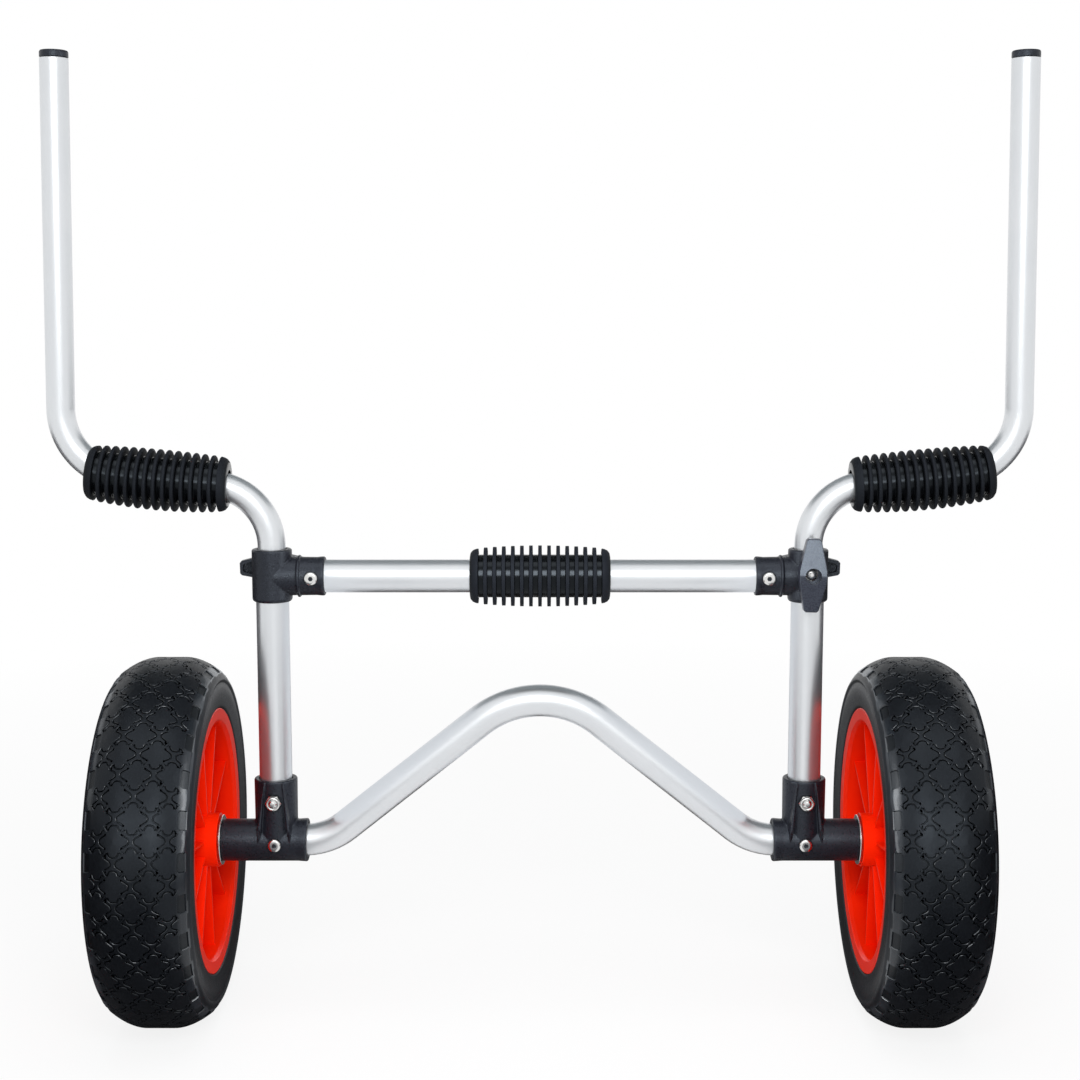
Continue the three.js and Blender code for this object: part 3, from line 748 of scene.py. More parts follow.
class Form:
    """A closed shape in the making, in millimetres."""

    def __init__(self, mesh: bmesh.types.BMesh | None = None) -> None:
        """Starts an empty form, or takes over a mesh."""
        self.mesh = mesh or bmesh.new()

    @classmethod
    def turned(cls, outline: Sequence[Corner], steps: int = 48, axis: Axis = Axis.Z) -> "Form":
        """Spins an outline round its axis.

        Args:
            outline: corners as radius, distance along the axis and, if it is rounded, the rounding.
            steps: the number of flats.
            axis: the direction of the axis.

        Returns:
            The closed form.
        """
        form = cls()
        mesh = form.mesh
        corners = [mesh.verts.new((corner[0], 0.0, corner[1])) for corner in outline]
        mesh.faces.new(corners)
        for vertex, corner in zip(corners, outline):
            if len(corner) > 2 and corner[2] > 0:
                form.rounded([vertex], corner[2], 3, "VERTICES")
        bmesh.ops.delete(mesh, geom=list(mesh.faces), context="FACES_ONLY")
        axial = [edge for edge in mesh.edges if all(abs(vertex.co.x) < 1e-6 for vertex in edge.verts)]
        bmesh.ops.delete(mesh, geom=axial, context="EDGES")
        return form.spun((0.0, 0.0, 1.0), steps).merged().facing_out().applied(axis.turn)

    def spun(self, axis: Place, steps: int) -> "Form":
        """Spins the form's edges once round an axis through the origin.

        Args:
            axis: the direction of the axis.
            steps: the number of flats.

        Returns:
            The form.
        """
        bmesh.ops.spin(
            self.mesh, geom=[*self.mesh.verts, *self.mesh.edges], cent=(0.0, 0.0, 0.0), axis=axis,
            dvec=(0.0, 0.0, 0.0), angle=math.tau, steps=steps, use_merge=True,
        )
        return self

    def rounded(self, geometry: Sequence[Any], width: float, segments: int, affect: str = "EDGES") -> "Form":
        """Rounds edges, or the corners of a flat face.

        Args:
            geometry: the edges or the corners.
            width: how far the rounding reaches.
            segments: the faces across the rounding.
            affect: "EDGES" or "VERTICES".

        Returns:
            The form.
        """
        bmesh.ops.bevel(
            self.mesh, geom=geometry, offset=width, offset_type="OFFSET", segments=segments, profile=0.5,
            affect=affect, clamp_overlap=affect == "EDGES", material=-1,
        )
        return self

    @classmethod
    def rod(
        cls, radius: float, low: float, high: float, axis: Axis, steps: int = 32, rounding: float = 0.0
    ) -> "Form":
        """Turns a plain rod.

        Args:
            radius: its radius.
            low: where it starts on its axis.
            high: where it ends.
            axis: its direction.
            steps: the number of flats.
            rounding: the rounding of its ends' edges.

        Returns:
            The rod.
        """
        outline = [(0.0, low), (radius, low, rounding), (radius, high, rounding), (0.0, high)]
        return cls.turned(outline, steps, axis)

    @classmethod
    def pipe(
        cls, radius: float, bore: float, low: float, high: float, axis: Axis, steps: int = 48,
        rounding: float = 0.3,
    ) -> "Form":
        """Turns a ring or a straight pipe.

        Args:
            radius: its radius.
            bore: its bore's radius.
            low: where it starts on its axis.
            high: where it ends.
            axis: its direction.
            steps: the number of flats.
            rounding: the rounding of its edges.

        Returns:
            The pipe.
        """
        corners = [(bore, low), (radius, low), (radius, high), (bore, high)]
        return cls.turned([(*corner, rounding) for corner in corners], steps, axis)

    @classmethod
    def drill(cls, radius: float, start: float, mouth: float, axis: Axis, chamfer: float = 0.5) -> "Form":
        """Turns the tool for a hole with a broken edge at its mouth.

        Args:
            radius: the hole's radius.
            start: where the hole starts on its axis.
            mouth: where it comes out.
            axis: its direction.
            chamfer: the width of the broken edge.

        Returns:
            The tool.
        """
        out = math.copysign(1.0, mouth - start)
        wide, beyond = radius + chamfer * 2, mouth + out * 5.0
        return cls.turned([
            (0.0, start), (radius, start), (radius, mouth - out * chamfer), (wide, mouth + out * chamfer),
            (wide, beyond), (0.0, beyond),
        ], 64, axis)

    @classmethod
    def bar(cls, route: Route, radius: float, bore: float, steps: int = 48) -> "Form":
        """Bends a tube along a route, keeping the place of each point before the bend.

        Args:
            route: the centre line.
            radius: the tube's radius.
            bore: the bore's radius.
            steps: the number of flats.

        Returns:
            The bent tube.
        """
        along = [station[0] for station in route.stations]
        edge = 0.4
        outside = [(radius - edge, along[0]), (radius, along[0] + edge)]
        outside += [(radius, length) for length in along[1:-1]]
        outside += [(radius, along[-1] - edge), (radius - edge, along[-1])]
        inside = [(bore, length) for length in reversed(along)]
        form = cls.turned(outside + inside, steps).remember()
        for vertex in form.mesh.verts:
            vertex.co = route.carry(vertex.co)
        return form.merged().facing_out()

    @classmethod
    def prism(cls, outline: Sequence[Point], low: float, high: float) -> "Form":
        """Pushes a flat outline along Z.

        Args:
            outline: its corners in the plane of X and Y, anticlockwise.
            low: the height of the lower face.
            high: the height of the upper face.

        Returns:
            The prism.
        """
        form = cls()
        mesh = form.mesh
        face = mesh.faces.new([mesh.verts.new((x, y, low)) for x, y in outline])
        grown = bmesh.ops.extrude_face_region(mesh, geom=[face])["geom"]
        upper = [item for item in grown if isinstance(item, bmesh.types.BMVert)]
        bmesh.ops.translate(mesh, vec=(0.0, 0.0, high - low), verts=upper)
        return form.merged().facing_out()

    def merged(self, reach: float = 1e-4) -> "Form":
        """Merges the points within a reach of each other and returns the form."""
        bmesh.ops.remove_doubles(self.mesh, verts=self.mesh.verts, dist=reach)
        return self

    def facing_out(self) -> "Form":
        """Turns all faces outwards and returns the form."""
        bmesh.ops.recalc_face_normals(self.mesh, faces=self.mesh.faces)
        return self

    def applied(self, matrix: Matrix) -> "Form":
        """Applies a matrix and returns the form."""
        bmesh.ops.transform(self.mesh, matrix=matrix, verts=self.mesh.verts)
        return self

    def remember(self) -> "Form":
        """Stores each point's present place, in metres, for the finish to read.

        Returns:
            The form.
        """
        layer = self.mesh.verts.layers.float_vector.new(TRUE_COORDINATE)
        for vertex in self.mesh.verts:
            vertex[layer] = vertex.co * METRES
        return self

    def copy(self) -> "Form":
        """Returns a copy of the form."""
        return Form(self.mesh.copy())

    def moved(self, x: float = 0.0, y: float = 0.0, z: float = 0.0) -> "Form":
        """Moves the form and returns it."""
        return self.applied(Matrix.Translation((x, y, z)))

    def swung(self, angle: float, axis: str) -> "Form":
        """Turns the form by degrees about an axis through the origin and returns it."""
        return self.applied(Matrix.Rotation(math.radians(angle), 4, axis))

    def towards(self, end: End) -> "Form":
        """Turns the form, made towards the rear, to face an end and returns it."""
        return self.swung(0 if end is End.REAR else 180, "Z")

    def mirrored(self, axis: str) -> "Form":
        """Mirrors the form along the axis of a letter and returns it."""
        return self.applied(Matrix.Scale(-1.0, 4, [float(letter == axis) for letter in "XYZ"])).facing_out()

    def facing(self, side: Side) -> "Form":
        """Mirrors the form, made for the right side, if it goes on the left, and returns it."""
        return self.mirrored("X") if side is Side.LEFT else self

    def at_post(self, side: Side, along: float = 0.0, height: float = 0.0) -> "Form":
        """Moves the form from a post's axis at the axle's height to its place on a side.

        Args:
            side: the side.
            along: how far out from the post it goes.
            height: how far up from the axle it goes.

        Returns:
            The form.
        """
        return self.moved(POST_OFFSET + along, 0.0, AXLE_HEIGHT + height).facing(side)

    def sharp_edges(self, angle: float) -> list[bmesh.types.BMEdge]:
        """Finds the edges at which two faces turn by more than an angle.

        Args:
            angle: the angle in degrees.

        Returns:
            The edges.
        """
        limit = math.radians(angle)
        joined = [edge for edge in self.mesh.edges if len(edge.link_faces) == 2]
        return [edge for edge in joined if edge.calc_face_angle() > limit]

    def bisected(self, axis: str, places: Sequence[float]) -> "Form":
        """Adds cuts across an axis and returns the form.

        Args:
            axis: the letter of the axis.
            places: where the cuts are.

        Returns:
            The form.
        """
        index = "XYZ".index(axis)
        for place in places:
            point, normal = Vector(), Vector()
            point[index], normal[index] = place, 1.0
            geometry = list(self.mesh.verts) + list(self.mesh.edges) + list(self.mesh.faces)
            bmesh.ops.bisect_plane(self.mesh, geom=geometry, plane_co=point, plane_no=normal, dist=1e-4)
        return self

    def data(self, name: str) -> bpy.types.Mesh:
        """Copies the form's mesh into data for an object.

        Args:
            name: the data's name.

        Returns:
            The data.
        """
        made = bpy.data.meshes.new(name)
        self.mesh.to_mesh(made)
        return made

    def with_also(self, *others: "Form") -> "Form":
        """Adds the meshes of other forms, as they are.

        Args:
            *others: the other forms.

        Returns:
            The form.
        """
        for other in others:
            data = other.data("joined")
            self.mesh.from_mesh(data)
            bpy.data.meshes.remove(data)
        return self

    def _holder(self) -> bpy.types.Object:
        """Returns a passing object that holds the form's mesh."""
        return put_in_scene("passing", self.data("passing"))

    def _through(self, prepare: Callable[[bpy.types.Object], Iterable[bpy.types.Object]]) -> "Form":
        """Takes the form through modifiers.

        Args:
            prepare: gives the passing object its modifiers, and returns other objects they use.

        Returns:
            The new form.
        """
        holder = self._holder()
        others = list(prepare(holder))
        result = bmesh.new()
        result.from_object(holder, bpy.context.evaluated_depsgraph_get())
        for passing in (holder, *others):
            data = passing.data
            bpy.data.objects.remove(passing)
            bpy.data.meshes.remove(data)
        return Form(result)

    def blended(self, blend: Blend, *others: "Form") -> "Form":
        """Fuses other closed forms to this one, or carves them out of it.

        Args:
            blend: what the others do.
            *others: the other forms.

        Returns:
            The new form.
        """

        def prepare(holder: bpy.types.Object) -> list[bpy.types.Object]:
            """Adds one modifier for each of the other forms.

            Args:
                holder: the passing object.

            Returns:
                The objects of the other forms.
            """
            tools = [other._holder() for other in others]
            for tool in tools:
                modifier = holder.modifiers.new("blend", "BOOLEAN")
                modifier.operation = blend.value
                modifier.solver = "EXACT"
                modifier.object = tool
            return tools

        return self._through(prepare)

    def moulded(self, voxel: float, passes: int) -> "Form":
        """Melts the form's edges and joints into small even fillets.

        Args:
            voxel: the grain of the new surface.
            passes: how often it is smoothed.

        Returns:
            The new form.
        """

        def prepare(holder: bpy.types.Object) -> list[bpy.types.Object]:
            """Adds the modifier that lays the new surface.

            Args:
                holder: the passing object.

            Returns:
                No other objects.
            """
            modifier = holder.modifiers.new("skin", "REMESH")
            modifier.mode = "VOXEL"
            modifier.voxel_size = voxel
            return []

        form = self._through(prepare)
        axes = {f"use_axis_{letter}": True for letter in "xyz"}
        for _ in range(passes):
            bmesh.ops.smooth_vert(form.mesh, verts=form.mesh.verts, factor=0.5, **axes)
        return form

    def set_down(
        self, name: str, finish: Finish, body: str, *nodes: str, crease: float = 35.0
    ) -> bpy.types.Object:
        """Makes the finished piece.

        Args:
            name: the piece's name.
            finish: its finish.
            body: the body that it rides on.
            *nodes: the solids of the frame that it stands for.
            crease: the angle in degrees above which an edge is drawn sharp.

        Returns:
            The piece's object.
        """
        self.applied(Matrix.Scale(METRES, 4))
        for face in self.mesh.faces:
            face.smooth = True
        for edge in self.mesh.edges:
            edge.smooth = len(edge.link_faces) == 2 and edge.calc_face_angle() < math.radians(crease)
        data = self.data(name)
        self.mesh.free()
        piece = put_in_scene(name, data)
        data.materials.append(finish.material())
        weights = piece.modifiers.new("face weights", "WEIGHTED_NORMAL")
        weights.keep_sharp = True
        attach(piece, body)
        if nodes:
            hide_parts(*nodes)
        LOG.info("%s: %d faces, on %s", name, len(data.polygons), body)
        return piece


# Wheels


@dataclass
class Crown:
    """The tyre's curve from the middle of its tread to the shoulder's foot."""

    radius: float = 130.0
    shoulder_half: float = 32.6
    shoulder_drop: float = 10.0
    flat_share: float = 0.3
    power: float = 1.8
    foot_half: float = 34.0
    foot_radius: float = 117.3
    samples: int = 48

    def __post_init__(self) -> None:
        """Measures the curve."""
        points: list[Point] = []
        for index in range(self.samples + 1):
            share = index / self.samples
            curved = max(0.0, share - self.flat_share) / (1 - self.flat_share)
            points.append((share * self.shoulder_half, self.radius - self.shoulder_drop * curved**self.power))
        points.append((self.foot_half, self.foot_radius))
        self.points = points
        self.lengths = [0.0]
        for before, after in zip(points, points[1:]):
            self.lengths.append(self.lengths[-1] + math.dist(before, after))

    @property
    def reach(self) -> float:
        """The length of the curve from the middle to the shoulder's foot."""
        return self.lengths[-1]

    def carry(self, along: float, height: float) -> Point:
        """Finds a point over the curve.

        Args:
            along: the distance from the middle along the curve, negative on the other side.
            height: how far the point stands out from the curve.

        Returns:
            The place across the tyre and the radius.
        """
        reach = min(abs(along), self.reach)
        index = 0
        while index < len(self.lengths) - 2 and reach > self.lengths[index + 1]:
            index += 1
        (x0, r0), (x1, r1) = self.points[index], self.points[index + 1]
        span = self.lengths[index + 1] - self.lengths[index]
        share = (reach - self.lengths[index]) / span
        x = x0 + (x1 - x0) * share - height * (r1 - r0) / span
        r = r0 + (r1 - r0) * share + height * (x1 - x0) / span
        return (math.copysign(x, along), r)


@dataclass
class Tread:
    """Block tread: a lattice of lozenges round cross-shaped studs, with cut shoulders.

    One pitch is drawn flat, with X across the tyre and Y round it, and then laid on the crown.
    """

    crown: Crown
    pitches: int = 28
    column: float = 11.7
    depth: float = 1.3
    edge: float = 0.3
    wall: float = 0.12
    channel: float = 0.5
    cross: ClassVar[tuple[Point, ...]] = (
        (2.25, 0.0), (2.45, 0.9), (3.2, 1.7), (5.2, 2.9), (7.0, 4.1), (7.05, 4.6),
        (3.9, 9.2), (3.4, 9.3), (2.9, 7.4), (2.2, 5.7), (1.3, 5.0), (0.0, 4.85),
    )
    pocket: ClassVar[tuple[Point, ...]] = (
        (29.6, -5.4), (30.9, -6.8), (34.2, -7.0), (36.6, -6.6),
        (36.6, 6.6), (34.2, 7.0), (30.9, 6.8), (29.6, 5.4),
    )
    studs: ClassVar[range] = range(-2, 3)
    pocket_walls: ClassVar[Point] = (0.5, -0.9)
    cuts_across: ClassVar[range] = range(-9, 10)
    cuts_round: ClassVar[range] = range(-1, 7)
    weld: ClassVar[float] = 2e-3

    @property
    def pitch(self) -> float:
        """The length of one pitch round the crown."""
        return math.tau * self.crown.radius / self.pitches

    def _cross_outline(self) -> list[Point]:
        """Completes the outer edge of the channel round one cross-shaped stud.

        Returns:
            The outline.
        """
        quarter = list(self.cross)
        upper = quarter + [(-x, y) for x, y in reversed(quarter[:-1])]
        return upper + [(x, -y) for x, y in reversed(upper[1:-1])]

    def _channels(self) -> list[list[Point]]:
        """Places the channels round the studs of one pitch, and then its two pockets.

        Returns:
            Their outlines.
        """
        outlines = []
        for step in self.studs:
            along, round_it = step * self.column, (step % 2) * self.pitch / 2
            outlines.append([(along + x, round_it + y) for x, y in self._cross_outline()])
        for sign in (-1, 1):
            pocket = [(sign * x, self.pitch / 2 + y) for x, y in self.pocket]
            outlines.append(pocket[::sign])
        return outlines

    def _border(self) -> list[Point]:
        """Draws the zigzag edge of one pitch, which runs through the lozenges.

        Returns:
            The outline.
        """
        lower = [(step * self.column, -((step + 1) % 2) * self.pitch / 2) for step in range(-3, 4)]
        lower = [(-self.crown.reach, 0.0), *lower, (self.crown.reach, 0.0)]
        return lower + [(x, y + self.pitch) for x, y in reversed(lower)]

    @staticmethod
    def _draw(
        mesh: bmesh.types.BMesh, outline: Sequence[Point]
    ) -> tuple[list[bmesh.types.BMVert], list[bmesh.types.BMEdge]]:
        """Draws a closed flat outline.

        Args:
            mesh: the mesh that it is drawn in.
            outline: its corners.

        Returns:
            The points and the edges.
        """
        ring = [mesh.verts.new((x, y, 0.0)) for x, y in outline]
        return ring, [mesh.edges.new(pair) for pair in zip(ring, ring[1:] + ring[:1])]

    def _flat_pitch(self) -> Form:
        """Draws one pitch: the land between the channels, the channels and the studs' tops.

        Returns:
            The flat pitch.
        """
        mesh = bmesh.new()
        _, edges = self._draw(mesh, self._border())
        rings = []
        for outline in self._channels():
            ring, sides = self._draw(mesh, outline)
            edges += sides
            rings.append(ring)
        bmesh.ops.triangle_fill(
            mesh, use_beauty=True, use_dissolve=False, edges=edges, normal=(0.0, 0.0, 1.0)
        )
        for index, ring in enumerate(rings):
            face = mesh.faces.new(ring)
            face.normal_update()
            if face.normal.z < 0:
                face.normal_flip()
            self._sink(mesh, face, stud=index < len(self.studs))
        return Form(mesh)

    def _sink(self, mesh: bmesh.types.BMesh, face: bmesh.types.BMFace, stud: bool) -> None:
        """Sinks a face between sloping walls.

        Args:
            mesh: the mesh that holds it.
            face: the face.
            stud: whether a stud stands in it up to the land.
        """
        drop = self.depth - self.edge
        moves = [(self.edge, -self.edge), (self.wall, -drop), (self.channel, 0.0), (self.wall, drop)]
        moves = [*moves, (self.edge, self.edge)] if stud else [self.pocket_walls]
        for thickness, depth in moves:
            bmesh.ops.inset_region(
                mesh, faces=[face], thickness=thickness, depth=depth, use_even_offset=True, use_boundary=True
            )

    def form(self) -> Form:
        """Lays all pitches on the crown.

        Returns:
            The tread as an open band round X.
        """
        band = self._flat_pitch()
        half_count = len(self.cuts_across) / 2
        band.bisected("X", [step * self.crown.reach / half_count for step in self.cuts_across])
        band.bisected("Y", [step * self.pitch / 4 for step in self.cuts_round])
        layer = band.mesh.verts.layers.float_vector.new(TRUE_COORDINATE)
        for vertex in band.mesh.verts:
            across, radius = self.crown.carry(vertex.co.x, vertex.co.z)
            vertex[layer] = Vector((across, vertex.co.y, vertex.co.z)) * METRES
            angle = vertex.co.y / self.crown.radius
            vertex.co = (across, -radius * math.cos(angle), radius * math.sin(angle))
        first = band.copy()
        for index in range(1, self.pitches):
            band.with_also(first.copy().swung(-360.0 * index / self.pitches, "X"))
        return band.merged(self.weld)


@dataclass
class Wheel:
    """One wheel: a solid tyre on a red ribbed rim."""

    side: Side
    flange_radius: float = 93.5
    flange_half: float = 33.8
    flange_thickness: float = 3.0
    lip_radius: float = 85.0
    seat_radius: float = 86.5
    barrel_radius: float = 82.5
    web_half: float = 2.0
    hub_radius: float = 18.9
    hub_half: float = 35.4
    bore: float = 12.5
    ribs: int = 10
    rib_phase: float = 27.0
    rib_half: float = 27.0
    rib_edge: float = 1.0
    rib_root: float = 1.5
    rib_bite: float = 1.5
    rib_rounding: float = 0.35
    tread_phase: float = 3.1
    seat_gap: float = 0.3
    wall_line: ClassVar[tuple[Point, ...]] = (
        (34.9, 116.2), (35.55, 115.2), (35.8, 114.0), (35.7, 113.2), (35.05, 112.3), (34.9, 111.4),
        (35.2, 110.2), (35.45, 107.0), (35.35, 103.0), (34.9, 99.0), (34.35, 96.2), (34.2, 95.1),
        (33.9, 94.5),
    )
    bead_half: ClassVar[float] = 33.4
    weld: ClassVar[float] = 0.02
    tyres: ClassVar[list[Form]] = []

    def _sidewalls(self, crown: Crown, pitches: int) -> Form:
        """Turns the rest of the tyre's section, from one shoulder's foot to the other.

        Args:
            crown: the tread's curve.
            pitches: the pitches of the tread, each met by four flats.

        Returns:
            The open band.
        """
        bead = self.flange_radius + self.seat_gap
        channel = self.flange_half - self.flange_thickness - self.seat_gap
        side = [
            (crown.foot_half, crown.foot_radius), *self.wall_line, (self.bead_half, bead),
            (channel, bead), (channel, self.seat_radius + self.seat_gap),
        ]
        outline = side + [(-x, r) for x, r in reversed(side)]
        band = Form()
        points = [band.mesh.verts.new((x, -r, 0.0)) for x, r in outline]
        for pair in zip(points, points[1:]):
            band.mesh.edges.new(pair)
        return band.spun((1.0, 0.0, 0.0), 4 * pitches)

    def tyre(self) -> Form:
        """Joins the tread to the sidewalls, once for both wheels.

        Returns:
            The closed tyre round X.
        """
        if not self.tyres:
            tread = Tread(Crown())
            form = tread.form().with_also(self._sidewalls(tread.crown, tread.pitches))
            self.tyres.append(form.merged(self.weld).facing_out().swung(-self.tread_phase, "X"))
        return self.tyres[0].copy()

    def rim(self) -> Form:
        """Turns the rim and adds its ribs.

        Returns:
            The closed rim round X.
        """
        channel = self.flange_half - self.flange_thickness
        side = [
            (self.seat_radius, channel, 0.8),
            (self.flange_radius, channel, 0.6),
            (self.flange_radius, self.flange_half, 1.0),
            (self.lip_radius, self.flange_half - 0.7, 0.5),
            (self.lip_radius - 0.9, self.flange_half - 2.5, 0.6),
            (self.barrel_radius + 0.9, self.flange_half - 4.0),
            (self.barrel_radius, self.web_half, 2.5),
            (self.hub_radius + 0.3, self.web_half, 1.5),
            (self.hub_radius, self.hub_half, 0.4),
            (self.bore, self.hub_half, 0.4),
        ]
        outline = [*side, *[(corner[0], -corner[1], *corner[2:]) for corner in reversed(side)]]
        rim = Form.turned(outline, 112, Axis.X)
        return rim.blended(Blend.FUSE, *[self._rib(index) for index in range(self.ribs)]).remember()

    def _rib(self, index: int) -> Form:
        """Makes one rib, thinner towards its two free edges.

        Args:
            index: its number round the rim.

        Returns:
            The rib.
        """
        low, high = self.hub_radius - self.rib_bite, self.seat_radius - self.rib_bite
        half = self.rib_half
        section = [
            (-half, -self.rib_edge), (0.0, -self.rib_root), (half, -self.rib_edge),
            (half, self.rib_edge), (0.0, self.rib_root), (-half, self.rib_edge),
        ]
        rib = Form.prism(section, low, high)
        rib.rounded(rib.sharp_edges(60.0), self.rib_rounding, 2)
        return rib.swung(-self.rib_phase - 360.0 * index / self.ribs, "X")

    def build(self) -> None:
        """Sets down the tyre and the rim."""
        label = self.side.label
        place = self.side.value * TRACK_HALF
        for name, form, finish in (("tyre", self.tyre(), TYRE), ("rim", self.rim(), RIM)):
            form.facing(self.side).moved(place, 0.0, AXLE_HEIGHT)
            form.set_down(f"{label}_{name}_skin", finish, f"{label}_wheel", f"{label}_{name}", crease=32.0)
        LOG.info("%s wheel at %.0f mm", label, place)


# Frame


@dataclass
class FrameTubes:
    """The arch tube, the crossbar and the two posts."""

    arch_radius: float = 11.25
    arch_wall: float = 1.4
    arch_end: float = 224.9
    arch_corner: float = 151.0
    arch_slope: float = 38.5
    foot_bend: float = 48.0
    top_bend: float = 68.0
    wall: float = 1.5
    crossbar_end: float = 173.0
    post_foot: float = 15.2
    post_top: float = 204.9

    def arch(self) -> Form:
        """Bends the arch tube.

        Returns:
            The tube in its place.
        """
        peak = self.arch_corner * math.tan(math.radians(self.arch_slope))
        right = [(self.arch_corner, 0.0), (self.arch_end, 0.0)]
        corners = [(-x, z) for x, z in reversed(right)] + [(0.0, peak)] + right
        route = Route(corners, [self.foot_bend, self.top_bend, self.foot_bend], 3.0)
        return Form.bar(route, self.arch_radius, self.arch_radius - self.arch_wall, 56).moved(z=AXLE_HEIGHT)

    def straight(self, low: float, high: float, axis: Axis) -> Form:
        """Cuts a straight length of frame tube.

        Args:
            low: where it starts.
            high: where it ends.
            axis: its direction.

        Returns:
            The tube.
        """
        tube = Form.pipe(FRAME_TUBE_RADIUS, FRAME_TUBE_RADIUS - self.wall, low, high, Axis.Z, 56)
        return tube.remember().applied(axis.turn)

    def build(self) -> None:
        """Sets down the four tubes."""
        self.arch().set_down("arch_tube_skin", ALUMINIUM, "root", "arch_tube")
        crossbar = self.straight(-self.crossbar_end, self.crossbar_end, Axis.X).moved(z=CROSSBAR_HEIGHT)
        crossbar.set_down("crossbar_skin", ALUMINIUM, "root", "crossbar_tube")
        for side in Side:
            post = self.straight(self.post_foot + AXLE_HEIGHT, self.post_top + AXLE_HEIGHT, Axis.Z)
            post.moved(side.value * POST_OFFSET)
            post.set_down(f"{side.label}_post_skin", ALUMINIUM, "root", f"{side.label}_post_tube")


@dataclass
class Grip:
    """A ribbed rubber grip, turned along Z with its middle at the origin."""

    length: float = 98.0
    core: float = 15.0
    flange: float = 19.3
    flange_thickness: float = 6.0
    ribs: int = 13
    rib_thickness: float = 2.6
    end_radius: float = 19.5
    middle_radius: float = 21.4
    rounding: float = 0.25
    root: float = 0.3
    draft: float = 0.05
    bore: float = 11.8

    def form(self) -> Form:
        """Turns the grip.

        Returns:
            The closed grip.
        """
        half = self.length / 2
        shoulder = half - self.flange_thickness
        pitch = (2 * shoulder + self.rib_thickness) / (self.ribs + 1)
        outline: list[Corner] = [
            (self.bore, -half, 0.4), (self.flange - 1.2, -half, 4.0),
            (self.flange, -shoulder, 0.5), (self.core, -shoulder, 0.5),
        ]
        for index in range(self.ribs):
            middle = (index - (self.ribs - 1) / 2) * pitch
            swell = 1 - (middle / shoulder) ** 2
            radius = self.end_radius + (self.middle_radius - self.end_radius) * swell
            low, high = middle - self.rib_thickness / 2, middle + self.rib_thickness / 2
            outline += [
                (self.core, low - self.draft, self.root), (radius, low + self.draft, self.rounding),
                (radius, high - self.draft, self.rounding), (self.core, high + self.draft, self.root),
            ]
        outline += [
            (self.core, shoulder, 0.5), (self.flange, shoulder, 0.5),
            (self.flange - 1.2, half, 4.0), (self.bore, half, 0.4),
        ]
        return Form.turned(outline, 64).remember()


@dataclass
class CrankArm:
    """A crank arm: the bent tube, its cap and its grip."""

    side: Side
    reach: float = 144.7
    rise: float = 5.2
    lean: float = 0.77
    lower_bend: float = 43.0
    upper_bend: float = 47.0
    stand_off: float = 2.0
    tee_top: float = 209.2
    foot: float = 60.0
    upright: float = 280.0
    wall: float = 1.5
    cap_height: float = 4.6
    cap_spigot: float = 11.0
    cap_gap: float = 0.35
    grip_reach: float = 77.8
    grip_turn: float = 5.0

    @property
    def _corner_height(self) -> float:
        """The height over the axle of the corner over the post."""
        return self.tee_top + self.stand_off + self.lower_bend * math.tan(math.radians(90 - self.rise) / 2)

    def _route(self) -> Route:
        """Lays out the centre line, from the foot in the post to the top.

        Returns:
            The route.
        """
        elbow = self._corner_height + self.reach * math.tan(math.radians(self.rise))
        lean = math.radians(self.lean)
        top = (self.reach - self.upright * math.sin(lean), elbow + self.upright * math.cos(lean))
        corners = [(0.0, self.foot), (0.0, self._corner_height), (self.reach, elbow), top]
        return Route(corners, [self.lower_bend, self.upper_bend], 3.0)


    def _cap(self, route: Route) -> Form:
        """Turns the cap and sets it on the leaning upright.

        Args:
            route: the tube's centre line.

        Returns:
            The cap.
        """
        spigot, top = CRANK_TUBE_RADIUS - self.wall - self.cap_gap, FIT_GAP + self.cap_height
        cap = Form.turned([
            (0.0, -self.cap_spigot), (spigot, -self.cap_spigot, 0.8), (spigot, FIT_GAP),
            (CRANK_TUBE_RADIUS, FIT_GAP, 0.3), (CRANK_TUBE_RADIUS, top, 1.4), (0.0, top),
        ])
        _, point, _ = route.stations[-1]
        return cap.swung(-self.lean, "Y").moved(point.x, 0.0, point.z)

    def _grip(self) -> Form:
        """Bends a grip over the arm.

        Returns:
            The grip.
        """
        shape = Grip(rounding=1.05, root=0.5, draft=0.1, bore=CRANK_TUBE_RADIUS + FIT_GAP)
        grip = shape.form()
        bend = math.radians(self.grip_turn) / shape.length
        start = math.radians(self.rise)
        height = self._corner_height + self.grip_reach * math.tan(start)
        for vertex in grip.mesh.verts:
            out = vertex.co.x
            slope = start + bend * vertex.co.z
            x = self.grip_reach + (math.sin(slope) - math.sin(start)) / bend - out * math.sin(slope)
            z = height - (math.cos(slope) - math.cos(start)) / bend + out * math.cos(slope)
            vertex.co = (x, vertex.co.y, z)
        return grip.merged().facing_out()

    def build(self) -> None:
        """Sets down the arm's three pieces."""
        label = self.side.label
        route = self._route()
        tube = Form.bar(route, CRANK_TUBE_RADIUS, CRANK_TUBE_RADIUS - self.wall, 48)
        pieces = (
            ("crank", tube, ALUMINIUM, "crank_tube"),
            ("cap", self._cap(route), NYLON, "crank_cap"),
            ("grip", self._grip(), CRANK_GRIP, "crank_grip"),
        )
        for name, form, finish, node in pieces:
            form.at_post(self.side)
            form.set_down(f"{label}_{name}_skin", finish, f"{label}_crank_arm", f"{label}_{node}")


def seat_of(wall: float, radius: float) -> float:
    """Finds the flat seat that a head or a nut has in a round wall.

    Args:
        wall: the wall's radius.
        radius: the head's or the nut's radius.

    Returns:
        How far the seat is from the wall's axis.
    """
    reach = (radius + 0.5) / math.cos(math.pi / 10)
    return math.sqrt(wall**2 - reach**2) * math.cos(math.pi / 16)


